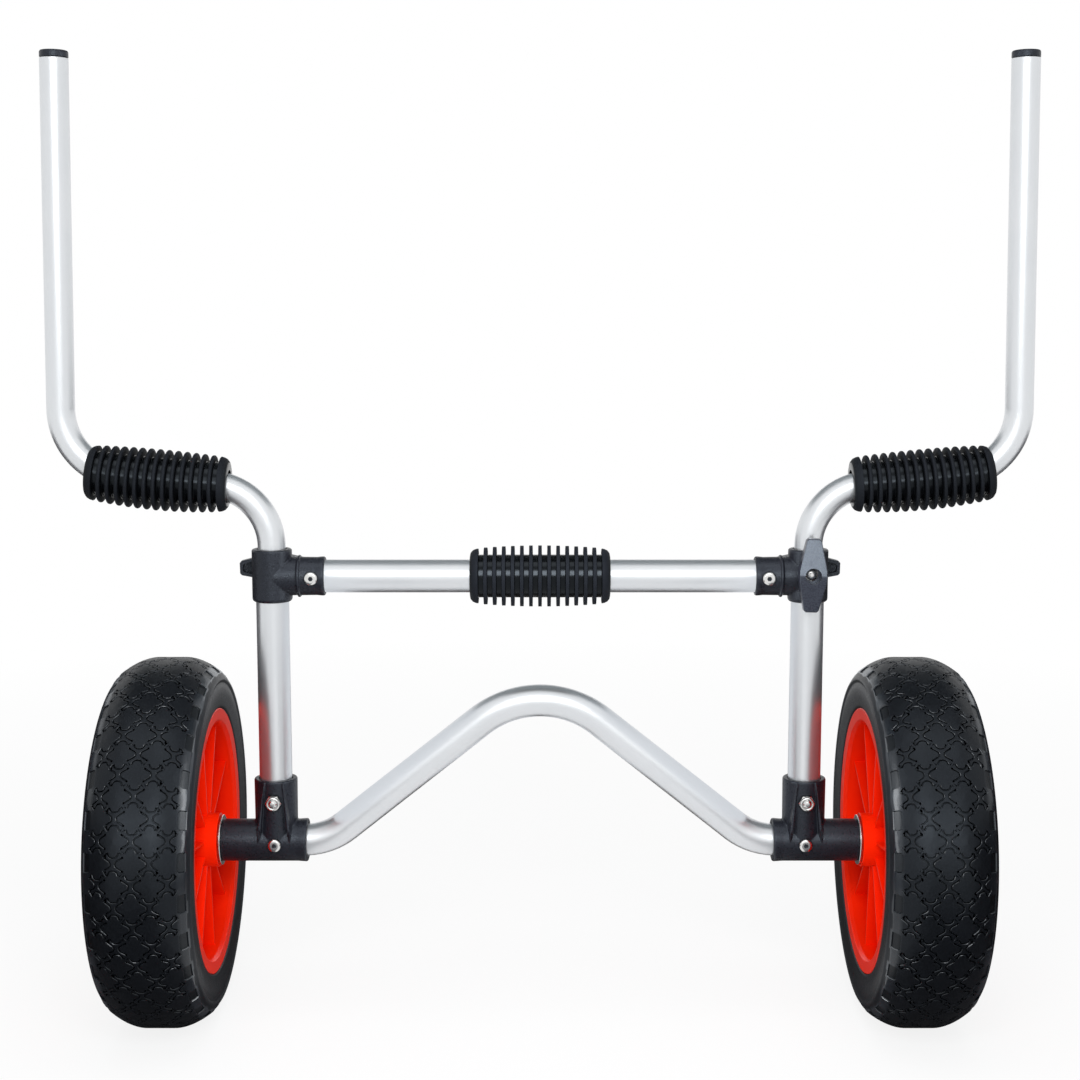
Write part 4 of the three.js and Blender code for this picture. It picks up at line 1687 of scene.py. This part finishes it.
@dataclass(frozen=True)
class Screw:
    """A button-head screw along Y. Its dome has rows of share of radius, share of height, rounding."""

    shank: float = 2.5
    head: float = 4.75
    height: float = 2.75
    socket: float = 1.73
    point: float = 0.62
    dome: ClassVar[tuple[Corner, ...]] = ((1.0, 0.5, 0.3), (0.9, 0.84, 0.4), (0.66, 1.0, 0.5))

    def form(self, wall: float, nut: float, tip: float) -> Form:
        """Turns the screw, with its head towards the front.

        Args:
            wall: the wall's radius.
            nut: the radius of the nut at the back.
            tip: how far the shank's end lies behind the nut's seat.

        Returns:
            The screw.
        """
        seat = seat_of(wall, self.head) + FIT_GAP
        end = seat_of(wall, nut) + FIT_GAP + tip
        top = seat + self.height
        dome = [(self.head * share, seat + self.height * rise, turn) for share, rise, turn in self.dome]
        body = Form.turned([
            (0.0, -end), (self.shank * self.point, -end, 0.3), (self.shank, 1.3 - end), (self.shank, seat),
            (self.head, seat, 0.2), *dome, (0.0, top),
        ], 40, Axis.Y)
        socket = Form.rod(self.socket, seat - 1.0, top + 2.0, Axis.Y, 6)
        return body.blended(Blend.CARVE, socket).swung(180, "Z")


@dataclass(frozen=True)
class LockNut:
    """A hexagon nut with a rounded collar round a deep ring-shaped recess, along Y towards the back."""

    corner: float = 4.62
    height: float = 5.0
    bore: float = 2.7
    flats_share: float = 0.66
    cone_share: float = 0.68
    collar_share: float = 0.86
    ring_wall: float = 0.9
    ring_depth: float = 1.6

    def form(self, seat: float) -> Form:
        """Makes the nut.

        Args:
            seat: how far from the wall's axis it starts.

        Returns:
            The nut.
        """
        low, high = seat + FIT_GAP, seat + FIT_GAP + self.height
        waist, shoulder = self.corner * self.collar_share, low + self.height * self.cone_share
        wide, ring = self.corner + 0.1, self.bore + self.ring_wall
        flats = Form.rod(self.corner, low, low + self.height * self.flats_share, Axis.Y, 6)
        cone = Form.turned([
            (0.0, low - 1.0), (self.corner * 0.9, low - 1.0), (wide, low + 0.6),
            (wide, low + self.height * 0.5), (waist, shoulder), (0.0, shoulder),
        ], 40, Axis.Y)
        collar = Form.turned([
            (0.0, low), (waist, low), (waist, high, 0.8), (ring, high, 0.2), (ring, high - self.ring_depth),
            (0.0, high - self.ring_depth),
        ], 40, Axis.Y)
        hole = Form.rod(self.bore, low - 2.0, high + 2.0, Axis.Y, 32)
        return flats.blended(Blend.KEEP, cone).blended(Blend.FUSE, collar).blended(Blend.CARVE, hole)


@dataclass(frozen=True)
class Fastening:
    """A screw with its nut, through a round wall, and the names of the two."""

    names: tuple[str, str]
    screw: Screw
    nut: LockNut
    tip: float
    head: End = End.FRONT
    pocket_gap: ClassVar[float] = 0.35
    pocket_reach: ClassVar[float] = 6.0

    def pockets(self, wall: float) -> list[Form]:
        """Makes the tools that sink the head and the nut, close round them.

        Args:
            wall: the wall's radius.

        Returns:
            The front tool and the rear tool.
        """
        radii = (self.screw.head, self.nut.corner)
        tools = []
        for end, radius in zip(End, radii if self.head is End.FRONT else radii[::-1]):
            low, high = seat_of(wall, radius), wall + self.pocket_reach
            tools.append(Form.rod(radius + self.pocket_gap, low, high, Axis.Y, 48).towards(end))
        return tools

    def build(self, side: Side, wall: float, along: float = 0.0, height: float = 0.0) -> None:
        """Sets down the screw and the nut.

        Args:
            side: the side of the cart.
            wall: the wall's radius.
            along: how far out from the post they go.
            height: how far up from the axle they go.
        """
        screw = self.screw.form(wall, self.nut.corner, self.tip)
        nut = self.nut.form(seat_of(wall, self.nut.corner))
        for name, form in zip(self.names, (screw, nut)):
            if self.head is End.REAR:
                form.swung(180, "Z")
            form.at_post(side, along, height)
            form.set_down(f"{side.label}_{name}_skin", STEEL, "root", f"{side.label}_{name}")


ARCH_FASTENING = Fastening(("arch_screw", "arch_nut"), Screw(), LockNut(), 6.5)
CROSSBAR_FASTENING = Fastening(("crossbar_screw", "crossbar_nut"), Screw(), LockNut(), 6.5)
POST_FASTENING = Fastening(
    ("post_bolt", "post_nut"), Screw(3.0, 5.25, 3.3, 2.3), LockNut(5.77, 6.0, 3.2), 7.5, End.REAR
)


@dataclass
class LowerTee:
    """The moulded tee that joins the post, the arch tube and the axle, with its fasteners."""

    side: Side
    radius: float = 14.9
    socket_radius: float = 15.2
    socket_height: float = 45.6
    inner_reach: float = 22.4
    outer_reach: float = 37.8
    collar_rise: float = 0.5
    collar_length: float = 7.0
    tube_bore: float = 11.6
    post_bore: float = 11.8
    bolt_height: float = 30.9
    fin_top: float = 6.5
    fin_foot: float = 11.2
    fin_tip_half: float = 0.6
    fin_belly_half: float = 2.1
    fin_root: float = 6.0
    fin_crest: float = 17.7
    fin_waist: float = 9.5
    fin_top_height: float = 45.0
    fin_foot_height: float = 2.2
    fin_top_fall: float = 3.3
    fin_foot_fall: float = 2.6
    fin_draft: float = 0.45
    fin_cuts: ClassVar[tuple[float, ...]] = (12.0, 18.0, 26.0, 34.0)
    mouldings: ClassVar[list[Form]] = []

    def _crest(self, height: float) -> float:
        """How far from the post's axis a fin's crest lies.

        Args:
            height: the height over the axle.

        Returns:
            The distance, largest where the fin is widest.
        """
        over = (height - self.fin_waist) / (self.fin_top_height - self.fin_waist)
        under = (self.fin_waist - height) / (self.fin_waist - self.fin_foot_height)
        return self.fin_crest - self.fin_top_fall * max(0.0, over) - self.fin_foot_fall * max(0.0, under)

    def _fin(self, sign: int, end: End) -> Form:
        """Makes one tapered fin, pointed at its foot.

        Args:
            sign: the side of the post that it is on.
            end: the face that it stands on.

        Returns:
            The fin.
        """
        tip, belly = self.fin_tip_half, self.fin_belly_half
        middle = self.fin_foot - (self.fin_foot - self.fin_top) * 0.15
        outline = [
            (self.fin_foot, self.fin_foot_height), (middle + belly, self.fin_waist),
            (self.fin_top + tip, self.fin_top_height), (self.fin_top - tip, self.fin_top_height),
            (middle - belly, self.fin_waist),
        ]
        fin = Form.prism(outline, 0.0, 1.0).bisected("Y", self.fin_cuts).swung(90, "X")
        for vertex in fin.mesh.verts:
            crest = vertex.co.y < -0.5
            vertex.co.y = -self._crest(vertex.co.z) if crest else -self.fin_root
            if crest:
                share = (vertex.co.z - self.fin_foot_height) / (self.fin_top_height - self.fin_foot_height)
                spine = self.fin_foot + (self.fin_top - self.fin_foot) * share
                vertex.co.x += (spine - vertex.co.x) * self.fin_draft
        if sign < 0:
            fin.mirrored("X")
        if end is End.REAR:
            fin.mirrored("Y")
        return fin.facing_out()

    def form(self) -> Form:
        """Moulds the tee round the post's axis at the axle's height, once for both sides.

        Returns:
            The tee for the right side.
        """
        if not self.mouldings:
            self.mouldings.append(self._mould())
        return self.mouldings[0].copy()

    def _mould(self) -> Form:
        """Fuses the sleeves and the fins, and bores them.

        Returns:
            The tee.
        """
        collar, outer = self.radius + self.collar_rise, self.outer_reach + 2.0
        socket = Form.turned([
            (0.0, -2.0), (self.radius, -2.0), (self.socket_radius, self.socket_height, 1.0),
            (0.0, self.socket_height),
        ], 64)
        sleeve = Form.turned([
            (0.0, -self.inner_reach), (collar, -self.inner_reach, 1.2),
            (self.radius, self.collar_length - self.inner_reach), (self.radius, outer), (0.0, outer),
        ], 64, Axis.X)
        fins = [self._fin(sign, end) for sign in (-1, 1) for end in End]
        solid = socket.blended(Blend.FUSE, sleeve, *fins).moulded(voxel=0.42, passes=2)
        tools = [
            Form.drill(self.post_bore, self.radius, self.socket_height, Axis.Z),
            Form.drill(self.tube_bore, 0.0, -self.inner_reach, Axis.X),
            Form.drill(self.tube_bore, -1.0, self.outer_reach, Axis.X),
            Form.rod(self.radius + 3.0, self.outer_reach, self.outer_reach + 6.0, Axis.X, 48),
            *ARCH_FASTENING.pockets(self.radius),
            *[tool.moved(z=self.bolt_height) for tool in POST_FASTENING.pockets(self.radius)],
        ]
        return solid.blended(Blend.CARVE, *tools)

    def build(self) -> None:
        """Sets down the tee, its screw, bolt and nuts."""
        name = f"{self.side.label}_lower_tee"
        self.form().at_post(self.side).set_down(f"{name}_skin", NYLON, "root", name, crease=60.0)
        ARCH_FASTENING.build(self.side, self.radius)
        POST_FASTENING.build(self.side, self.radius, height=self.bolt_height)


@dataclass
class UpperTee:
    """The moulded tee that joins the post and the crossbar, with its screw and nut."""

    side: Side
    knobs: tuple[End, ...]
    radius: float = 14.0
    half: float = 19.2
    foot: float = 17.8
    lip: float = 4.0
    branch_radius: float = 13.5
    branch_reach: float = 37.4
    bead_reach: float = 19.2
    bead_half: float = 1.2
    bead_rise: float = 1.3
    boss_radius: float = 8.5
    boss_end: float = 17.5
    screw_reach: float = 28.5
    bore: float = 11.8
    bore_reach: float = 14.1
    crank_gap: float = 0.6
    insert_radius: float = 6.3

    def _towards_knobs(self, radius: float, reach: float, rounding: float = 0.0) -> list[Form]:
        """Makes a rod from the post's axis towards each knob.

        Args:
            radius: the rods' radius.
            reach: how far they reach.
            rounding: the rounding of their ends' edges.

        Returns:
            The rods.
        """
        rods = [Form.rod(radius, 0.0, reach, Axis.Y, 48, rounding).towards(end) for end in self.knobs]
        return [rod.moved(z=KNOB_HEIGHT - AXLE_HEIGHT) for rod in rods]

    def _arm(self) -> Form:
        """Turns the arm towards the crossbar, with its flared mouth and its bead.

        Returns:
            The arm round X.
        """
        mouth, bead = -self.branch_reach, -self.bead_reach
        arm, crest = self.branch_radius, self.branch_radius + self.bead_rise
        return Form.turned([
            (0.0, mouth), (arm + 0.25, mouth, 1.3), (arm + 0.2, mouth + 2.5, 0.8), (arm - 0.15, mouth + 6.0),
            (arm, bead - self.bead_half, 0.2), (crest, bead - self.bead_half * 0.6, 0.5),
            (crest, bead + self.bead_half * 0.6, 0.5), (arm, bead + self.bead_half, 0.2),
            (self.radius - 0.03, 0.0), (0.0, 0.0),
        ], 64, Axis.X)

    def form(self) -> Form:
        """Moulds the tee for the right side, round the post's axis at the axle's height.

        Returns:
            The tee.
        """
        middle = CROSSBAR_HEIGHT - AXLE_HEIGHT
        top, foot = middle + self.half, middle - self.foot
        sleeve = Form.turned([(0.0, foot), (self.radius, foot, 2.4), (self.radius, top, 1.3), (0.0, top)], 64)
        bosses = self._towards_knobs(self.boss_radius, self.boss_end, 0.6)
        solid = sleeve.blended(Blend.FUSE, self._arm().moved(z=middle), *bosses).moulded(voxel=0.29, passes=1)
        pockets = CROSSBAR_FASTENING.pockets(self.branch_radius)
        tools = [
            Form.drill(self.bore, top - self.lip, foot, Axis.Z),
            Form.drill(CRANK_TUBE_RADIUS + self.crank_gap, middle, top, Axis.Z),
            Form.drill(self.bore, -self.bore_reach, -self.branch_reach, Axis.X).moved(z=middle),
            *[tool.moved(-self.screw_reach, 0.0, middle) for tool in pockets],
            *self._towards_knobs(self.insert_radius, 30.0),
        ]
        return solid.blended(Blend.CARVE, *tools)

    def build(self) -> None:
        """Sets down the tee, its screw and its nut."""
        name = f"{self.side.label}_upper_tee"
        self.form().at_post(self.side).set_down(f"{name}_skin", NYLON, "root", name, crease=60.0)
        height = CROSSBAR_HEIGHT - AXLE_HEIGHT
        CROSSBAR_FASTENING.build(self.side, self.branch_radius, -self.screw_reach, height)


@dataclass
class WingKnob:
    """A wing knob and its stud, made with the axis on Z and the wings along Y."""

    side: Side
    end: End
    half_length: float = 25.5
    half_width: float = 9.5
    tip_half_width: float = 4.9
    waist: float = 4.0
    depth: float = 10.5
    tip_depth: float = 6.2
    ridge: float = 0.8
    edge: float = 0.8
    wall: float = 2.0
    recess: float = 5.65
    recess_depth: float = 9.4
    hub: float = 7.0
    stud_bore: float = 4.4
    point: float = 1.6
    stand: float = 18.0
    stud_start: float = 12.7
    thread_pitch: float = 1.25
    thread_root: float = 3.4
    thread_crest: float = 4.0
    tilts: ClassVar[dict[End, float]] = {End.FRONT: -1.7, End.REAR: 91.5}

    def _wings(self, inset: float, low: float, top: float) -> Form:
        """Makes the eight-sided wings with their roof-shaped top.

        Args:
            inset: how far inside the outer shape it lies.
            low: the height of the flat side.
            top: how far under the outer roof it ends.

        Returns:
            The wings.
        """
        waist, tip = self.half_width - inset, self.tip_half_width - inset
        length = self.half_length - inset
        corners = [(waist, self.waist), (tip + 0.2, length - 1.2), (tip - 1.2, length)]
        upper = corners + [(-x, y) for x, y in reversed(corners)]
        outline = upper + [(-x, -y) for x, y in upper]
        wings = Form.prism(outline, low, self.depth - top).bisected("Y", (-self.ridge, self.ridge))
        fall = (self.depth - self.tip_depth) / (self.half_length - self.ridge)
        for vertex in wings.mesh.verts:
            if vertex.co.z > low + 1e-3:
                vertex.co.z -= max(0.0, abs(vertex.co.y) - self.ridge) * fall
        return wings

    def form(self) -> Form:
        """Makes the knob, hollow at the back round its hub.

        Returns:
            The knob.
        """
        outer = self._wings(0.0, 0.0, 0.0)
        top_edges = [
            edge for edge in outer.sharp_edges(50.0)
            if all(vertex.co.z > 1.0 for vertex in edge.verts)
            and abs(edge.verts[0].co.z - edge.verts[1].co.z) < 4.0
        ]
        outer.rounded(top_edges, self.edge, 3)
        hub = Form.rod(self.hub, -6.0, self.depth, Axis.Z, 40)
        hollow = self._wings(self.wall, -2.0, self.wall).blended(Blend.CARVE, hub)
        recess = Form.rod(self.recess, self.depth - self.recess_depth, 20.0, Axis.Z, 48)
        bore = Form.rod(self.stud_bore, -4.0, self.depth, Axis.Z, 40)
        return outer.blended(Blend.CARVE, hollow, recess, bore)

    def _stud(self) -> Form:
        """Turns the stud with the rings of its thread.

        Returns:
            The stud.
        """
        low, high = self.stud_start - self.stand, self.depth - self.recess_depth - 0.5
        root, tip = self.thread_root, high + 1.4
        outline: list[Corner] = [(0.0, low), (3.3, low)]
        for index in range(int((high - low - 0.8) / self.thread_pitch)):
            start = low + 0.4 + index * self.thread_pitch
            outline += [(root, start), (self.thread_crest, start + self.thread_pitch * 0.5)]
        outline += [(root, high - 0.3), (self.point, high), (self.point, tip, 0.3), (0.0, tip)]
        return Form.turned(outline, 32)

    def _placed(self, form: Form) -> Form:
        """Turns a form across the post and moves it to its place.

        Args:
            form: the form, with its axis on Z.

        Returns:
            The form.
        """
        form.moved(z=self.stand).swung(-90.0 * self.end.value, "X")
        return form.moved(self.side.value * POST_OFFSET, 0.0, KNOB_HEIGHT)

    def build(self) -> None:
        """Sets down the knob and its stud."""
        label = f"{self.side.label}_{self.end.label}"
        body = f"{label}_knob"
        # The front knob takes a lighter copy of the nylon, painted light; the rear knobs keep the plain
        # nylon.
        finish = LIT_KNOB_NYLON if self.end is End.FRONT else NYLON
        knob = self._placed(self.form().swung(self.side.value * self.tilts[self.end], "Z"))
        knob.set_down(f"{label}_knob_skin", finish, body, f"{label}_wing_knob", crease=28.0)
        stud = self._placed(self._stud())
        stud.set_down(f"{label}_stud_skin", STEEL, body, f"{label}_knob_stud", crease=70.0)


@dataclass
class AxleSet:
    """What shows of an axle: the tube, two washers and the end plug."""

    side: Side
    wall: float = 2.5
    start: float = -15.0
    sleeve_end: float = 37.8
    washer_radius: float = 17.8
    washer_bore: float = 10.0
    washer_thickness: float = 1.8
    outer_washer: float = 111.3
    end: float = 123.0
    plug_radius: float = 6.7
    plug_depth: float = 4.7
    plug_cap: float = 3.3

    def _washer(self, start: float) -> Form:
        """Turns a washer that starts at a place on the axle."""
        end = start + self.washer_thickness
        return Form.pipe(self.washer_radius, self.washer_bore, start, end, Axis.X, 64, 0.5)

    def _plug(self) -> Form:
        """Turns the plug in the axle's end.

        Returns:
            The plug.
        """
        seat, face = self.end + FIT_GAP, self.end + self.plug_cap
        return Form.turned([
            (0.0, self.end - self.plug_depth), (self.plug_radius, self.end - self.plug_depth, 0.6),
            (self.plug_radius, seat), (AXLE_RADIUS, seat, 0.3), (AXLE_RADIUS, face, 1.2), (0.0, face),
        ], 48, Axis.X)

    def build(self) -> None:
        """Sets down the axle's pieces."""
        axle = Form.pipe(AXLE_RADIUS, AXLE_RADIUS - self.wall, self.start, self.end, Axis.X, 48, 0.4)
        pieces = {
            "axle": (axle, STEEL),
            "inner_washer": (self._washer(self.sleeve_end + FIT_GAP), STEEL),
            "outer_washer": (self._washer(self.outer_washer), STEEL),
            "axle_plug": (self._plug(), NYLON),
        }
        for name, (form, finish) in pieces.items():
            node = f"{self.side.label}_{name}"
            form.at_post(self.side).set_down(f"{node}_skin", finish, "root", node)


# Studio


def flat_sheet(name: str, width: float, depth: float) -> bpy.types.Object:
    """Makes a flat sheet that is part of the studio.

    Args:
        name: its name.
        width: its size along X.
        depth: its size along Y.

    Returns:
        The sheet, flat on the ground at the origin.
    """
    form = Form()
    bmesh.ops.create_grid(form.mesh, x_segments=1, y_segments=1, size=0.5)
    bmesh.ops.scale(form.mesh, vec=(width, depth, 1.0), verts=form.mesh.verts)
    sheet = put_in_scene(name, form.data(name))
    form.mesh.free()
    return sheet


@dataclass(frozen=True)
class Lamp:
    """A soft light that the camera doesn't see, with its width and height, and its power in watts."""

    name: str
    place: Place
    aim: Place
    size: Point
    power: float
    hidden_from: tuple[str, ...] = ()
    colour: ClassVar[Colour] = (0.97, 0.985, 1.0)

    def hang(self, only: Iterable[bpy.types.Object] = ()) -> None:
        """Hangs the lamp.

        Args:
            only: the pieces that it lights, or none for all.
        """
        data = bpy.data.lights.new(self.name, "AREA")
        data.shape = "RECTANGLE"
        data.size, data.size_y = self.size
        data.energy = self.power
        data.color = self.colour
        lamp = put_in_scene(self.name, data)
        lamp.location = self.place
        lamp.rotation_euler = (Vector(self.aim) - Vector(self.place)).to_track_quat("-Z", "Y").to_euler()
        for ray in ("camera", *self.hidden_from):
            setattr(lamp, f"visible_{ray}", False)
        lit = list(only)
        if lit:
            lamp.light_linking.receiver_collection = bpy.data.collections.new(f"{self.name}_pieces")
            for piece in lit:
                lamp.light_linking.receiver_collection.objects.link(piece)


@dataclass(frozen=True)
class Card:
    """A card that only bright surfaces show.

    Its size is along X and Y, or along Z and Y if it stands upright. The sign of X that it faces
    is 0 if it lies flat. If it glows it shows its colour in any light, from the side it faces.
    """

    name: str
    place: Place
    size: Point
    colour: Colour
    facing: float = 0.0
    glow: bool = False

    def _shader(self, graph: Graph) -> bpy.types.Node:
        """Mixes the card's surface.

        Args:
            graph: the card's graph.

        Returns:
            The shader's node.
        """
        paint = {"Color": (*self.colour, 1.0)}
        if not self.glow:
            return graph.add("ShaderNodeBsdfDiffuse", {}, paint)
        back = graph.add("ShaderNodeNewGeometry").outputs["Backfacing"]
        shine = graph.add("ShaderNodeEmission", {}, paint)
        clear = graph.add("ShaderNodeBsdfTransparent")
        return graph.add("ShaderNodeMixShader", {}, {0: back, 1: shine.outputs[0], 2: clear.outputs[0]})

    def stand(self) -> None:
        """Sets up the card."""
        card = flat_sheet(self.name, *self.size)
        turn = Matrix.Rotation(self.facing * math.pi / 2, 4, "Y")
        card.data.transform(Matrix.Translation(self.place) @ turn)
        material, graph = Graph.of_material(self.name)
        graph.show(self._shader(graph))
        card.data.materials.append(material)
        for ray in ("camera", "diffuse", "transmission", "volume_scatter", "shadow"):
            setattr(card, f"visible_{ray}", False)


@dataclass
class Studio:
    """The camera, the soft lights, the pale floor and the cards round the cart, in metres."""

    distance: float = 1.266225
    height: float = 0.508316
    tilt: float = 0.128
    focal_pixels: float = 1828.757
    image_width: float = 1080.0
    sensor: float = 36.0
    ambient: float = 0.38
    floor_size: float = 40.0
    floor_lift: float = 0.86
    middle: ClassVar[Place] = (0.0, 0.0, 0.3)
    white_card: ClassVar[Colour] = (0.85, 0.87, 0.90)
    black_card: ClassVar[Colour] = (0.10, 0.10, 0.11)

    def camera(self) -> None:
        """Sets the camera where the photograph was taken from."""
        data = bpy.data.cameras.new("camera")
        data.sensor_width = self.sensor
        data.lens = self.sensor * self.focal_pixels / self.image_width
        data.clip_end = 50.0
        camera = put_in_scene("camera", data)
        camera.location = (0.0, -self.distance, self.height)
        camera.rotation_euler = (math.pi / 2 - self.tilt, 0.0, 0.0)
        bpy.context.scene.camera = camera

    def lights(self) -> None:
        """Hangs a soft light in front, one above, and a pair that light the dishes of the rims."""
        Lamp("front_light", (0.0, -1.75, 1.15), self.middle, (1.3, 1.1), 9.5).hang()
        Lamp("top_light", (0.0, -0.7, 2.3), self.middle, (1.6, 1.6), 22.0, ("glossy",)).hang()
        for side in Side:
            aim = (side.value * 0.25, 0.0, 0.13)
            Lamp(f"{side.label}_rim_light", (0.0, -0.8, 0.6), aim, (0.3, 0.3), 2.2, ("glossy",)).hang()

    def glints(self) -> None:
        """Gives the black pieces lights of their own, whose glints show their edges and their grain."""
        dark = {finish.name for finish in BLACK_FINISHES}
        black = [
            piece for piece in bpy.context.scene.objects
            if piece.type == "MESH" and any(slot and slot.name in dark for slot in piece.data.materials)
        ]
        grip = [piece for piece in black if piece.name.startswith("crossbar")]
        rest = [piece for piece in black if piece not in grip]
        glossy_only = ("diffuse",)
        Lamp("strip_light", (0.0, -1.5, 0.70), (0.0, 0.0, 0.32), (1.3, 0.24), 7.0, glossy_only).hang(rest)
        Lamp("grip_glint", (0.0, -1.75, 1.1), (0.0, 0.0, 0.42), (0.4, 0.8), 13.0, glossy_only).hang(grip)
        Lamp("ceiling_light", (0.0, -0.5, 2.0), (0.0, 0.0, 0.2), (1.6, 0.8), 6.0, glossy_only).hang(black)
        for side in Side:
            place, aim = (-side.value * 0.55, -0.3, 0.45), (side.value * 0.22, 0.0, 0.25)
            mine = [piece for piece in black if piece.name.startswith(side.label)]
            Lamp(f"{side.label}_glint", place, aim, (0.25, 0.6), 3.0).hang(mine)

    def world(self) -> None:
        """Makes the white surroundings, which light the cart less than they show."""
        world = bpy.data.worlds.new("surroundings")
        bpy.context.scene.world = world
        world.use_nodes = True
        graph = Graph(world.node_tree)
        strength = self.ambient + graph.shown_background() * (1.0 - self.ambient)
        graph.show(graph.add("ShaderNodeBackground", {}, {"Color": WHITE, "Strength": strength}), "World")

    def floor(self) -> None:
        """Lays the pale floor, which keeps the cart's shadow and turns white with distance."""
        material, graph = Graph.of_material("pale_floor")
        away = graph.add("ShaderNodeVectorMath", {"operation": "LENGTH"}, {0: graph.place()})
        far = Signal(graph, away.outputs["Value"]) * 0.5
        shown = graph.ramp(far, [(0.15, self.floor_lift), (0.75, 1.0)])
        matt = graph.add("ShaderNodeBsdfDiffuse", {}, {"Color": (0.9, 0.9, 0.9, 1.0)})
        white = graph.add("ShaderNodeEmission", {}, {"Color": WHITE, "Strength": 1.0})
        mixed = {0: graph.shown_background() * shown, 1: matt.outputs[0], 2: white.outputs[0]}
        graph.show(graph.add("ShaderNodeMixShader", {}, mixed))
        flat_sheet("floor", self.floor_size, self.floor_size).data.materials.append(material)

    def cards(self) -> None:
        """Sets up the cards over, between and beside the two halves, which shape the reflections."""
        white, black = self.white_card, self.black_card
        rows = [
            Card("ceiling_card", (0.0, 1.3, 1.5), (3.0, 2.6), (0.34, 0.38, 0.40)),
            Card("rear_card", (0.0, 0.62, 0.002), (0.6, 1.1), (0.11, 0.105, 0.10)),
        ]
        for side in Side:
            out, label = float(side.value), side.label
            rows += [
                Card(f"{label}_floor_card", (out * 0.32, -0.3, 0.002), (0.28, 0.9), (0.12, 0.12, 0.13)),
                Card(f"{label}_far_card", (out * 0.62, 0.6, 0.17), (0.34, 1.2), black, -out),
                Card(f"{label}_near_card", (out * 0.40, -0.075, 0.10), (0.20, 0.35), black, -out),
                Card(f"{label}_low_card", (-out * 0.001, 0.34, 0.16), (0.28, 0.6), white, out, True),
                Card(f"{label}_high_card", (-out * 0.15, 0.0, 0.24), (0.18, 0.26), white, out, True),
            ]
        for card in rows:
            card.stand()

    def build(self) -> None:
        """Sets up the studio, with colours shown as they are written."""
        bpy.context.scene.view_settings.view_transform = "Standard"
        self.camera()
        self.lights()
        self.world()
        self.floor()
        self.cards()


def dress_frame(frame: dict[str, Any]) -> None:
    """Gives every solid of the frame the finish of its slot.

    Args:
        frame: the loaded frame.
    """
    by_slot = {finish.slot: finish for finish in SLOT_FINISHES}
    for row in frame["record"]["subparts"]:
        node = frame["nodes"][row["node"]]
        material = by_slot[row["material_slot"]].material()
        for slot in node.material_slots:
            slot.material = material


def main() -> None:
    """Builds the studio, the cart's finishes and all its pieces."""
    logging.basicConfig(level=logging.INFO, format="%(message)s")
    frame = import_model()
    studio = Studio()
    studio.build()
    dress_frame(frame)
    FrameTubes().build()
    grip = Grip().form().applied(Axis.X.turn).moved(z=CROSSBAR_HEIGHT)
    grip.set_down("crossbar_grip_skin", GRIP, "root", "crossbar_grip")
    knobs = {Side.LEFT: (End.REAR,), Side.RIGHT: (End.FRONT, End.REAR)}
    for side in Side:
        Wheel(side).build()
        AxleSet(side).build()
        LowerTee(side).build()
        UpperTee(side, knobs[side]).build()
        CrankArm(side).build()
        for end in knobs[side]:
            WingKnob(side, end).build()
    studio.glints()


if __name__ == "__main__":
    main()
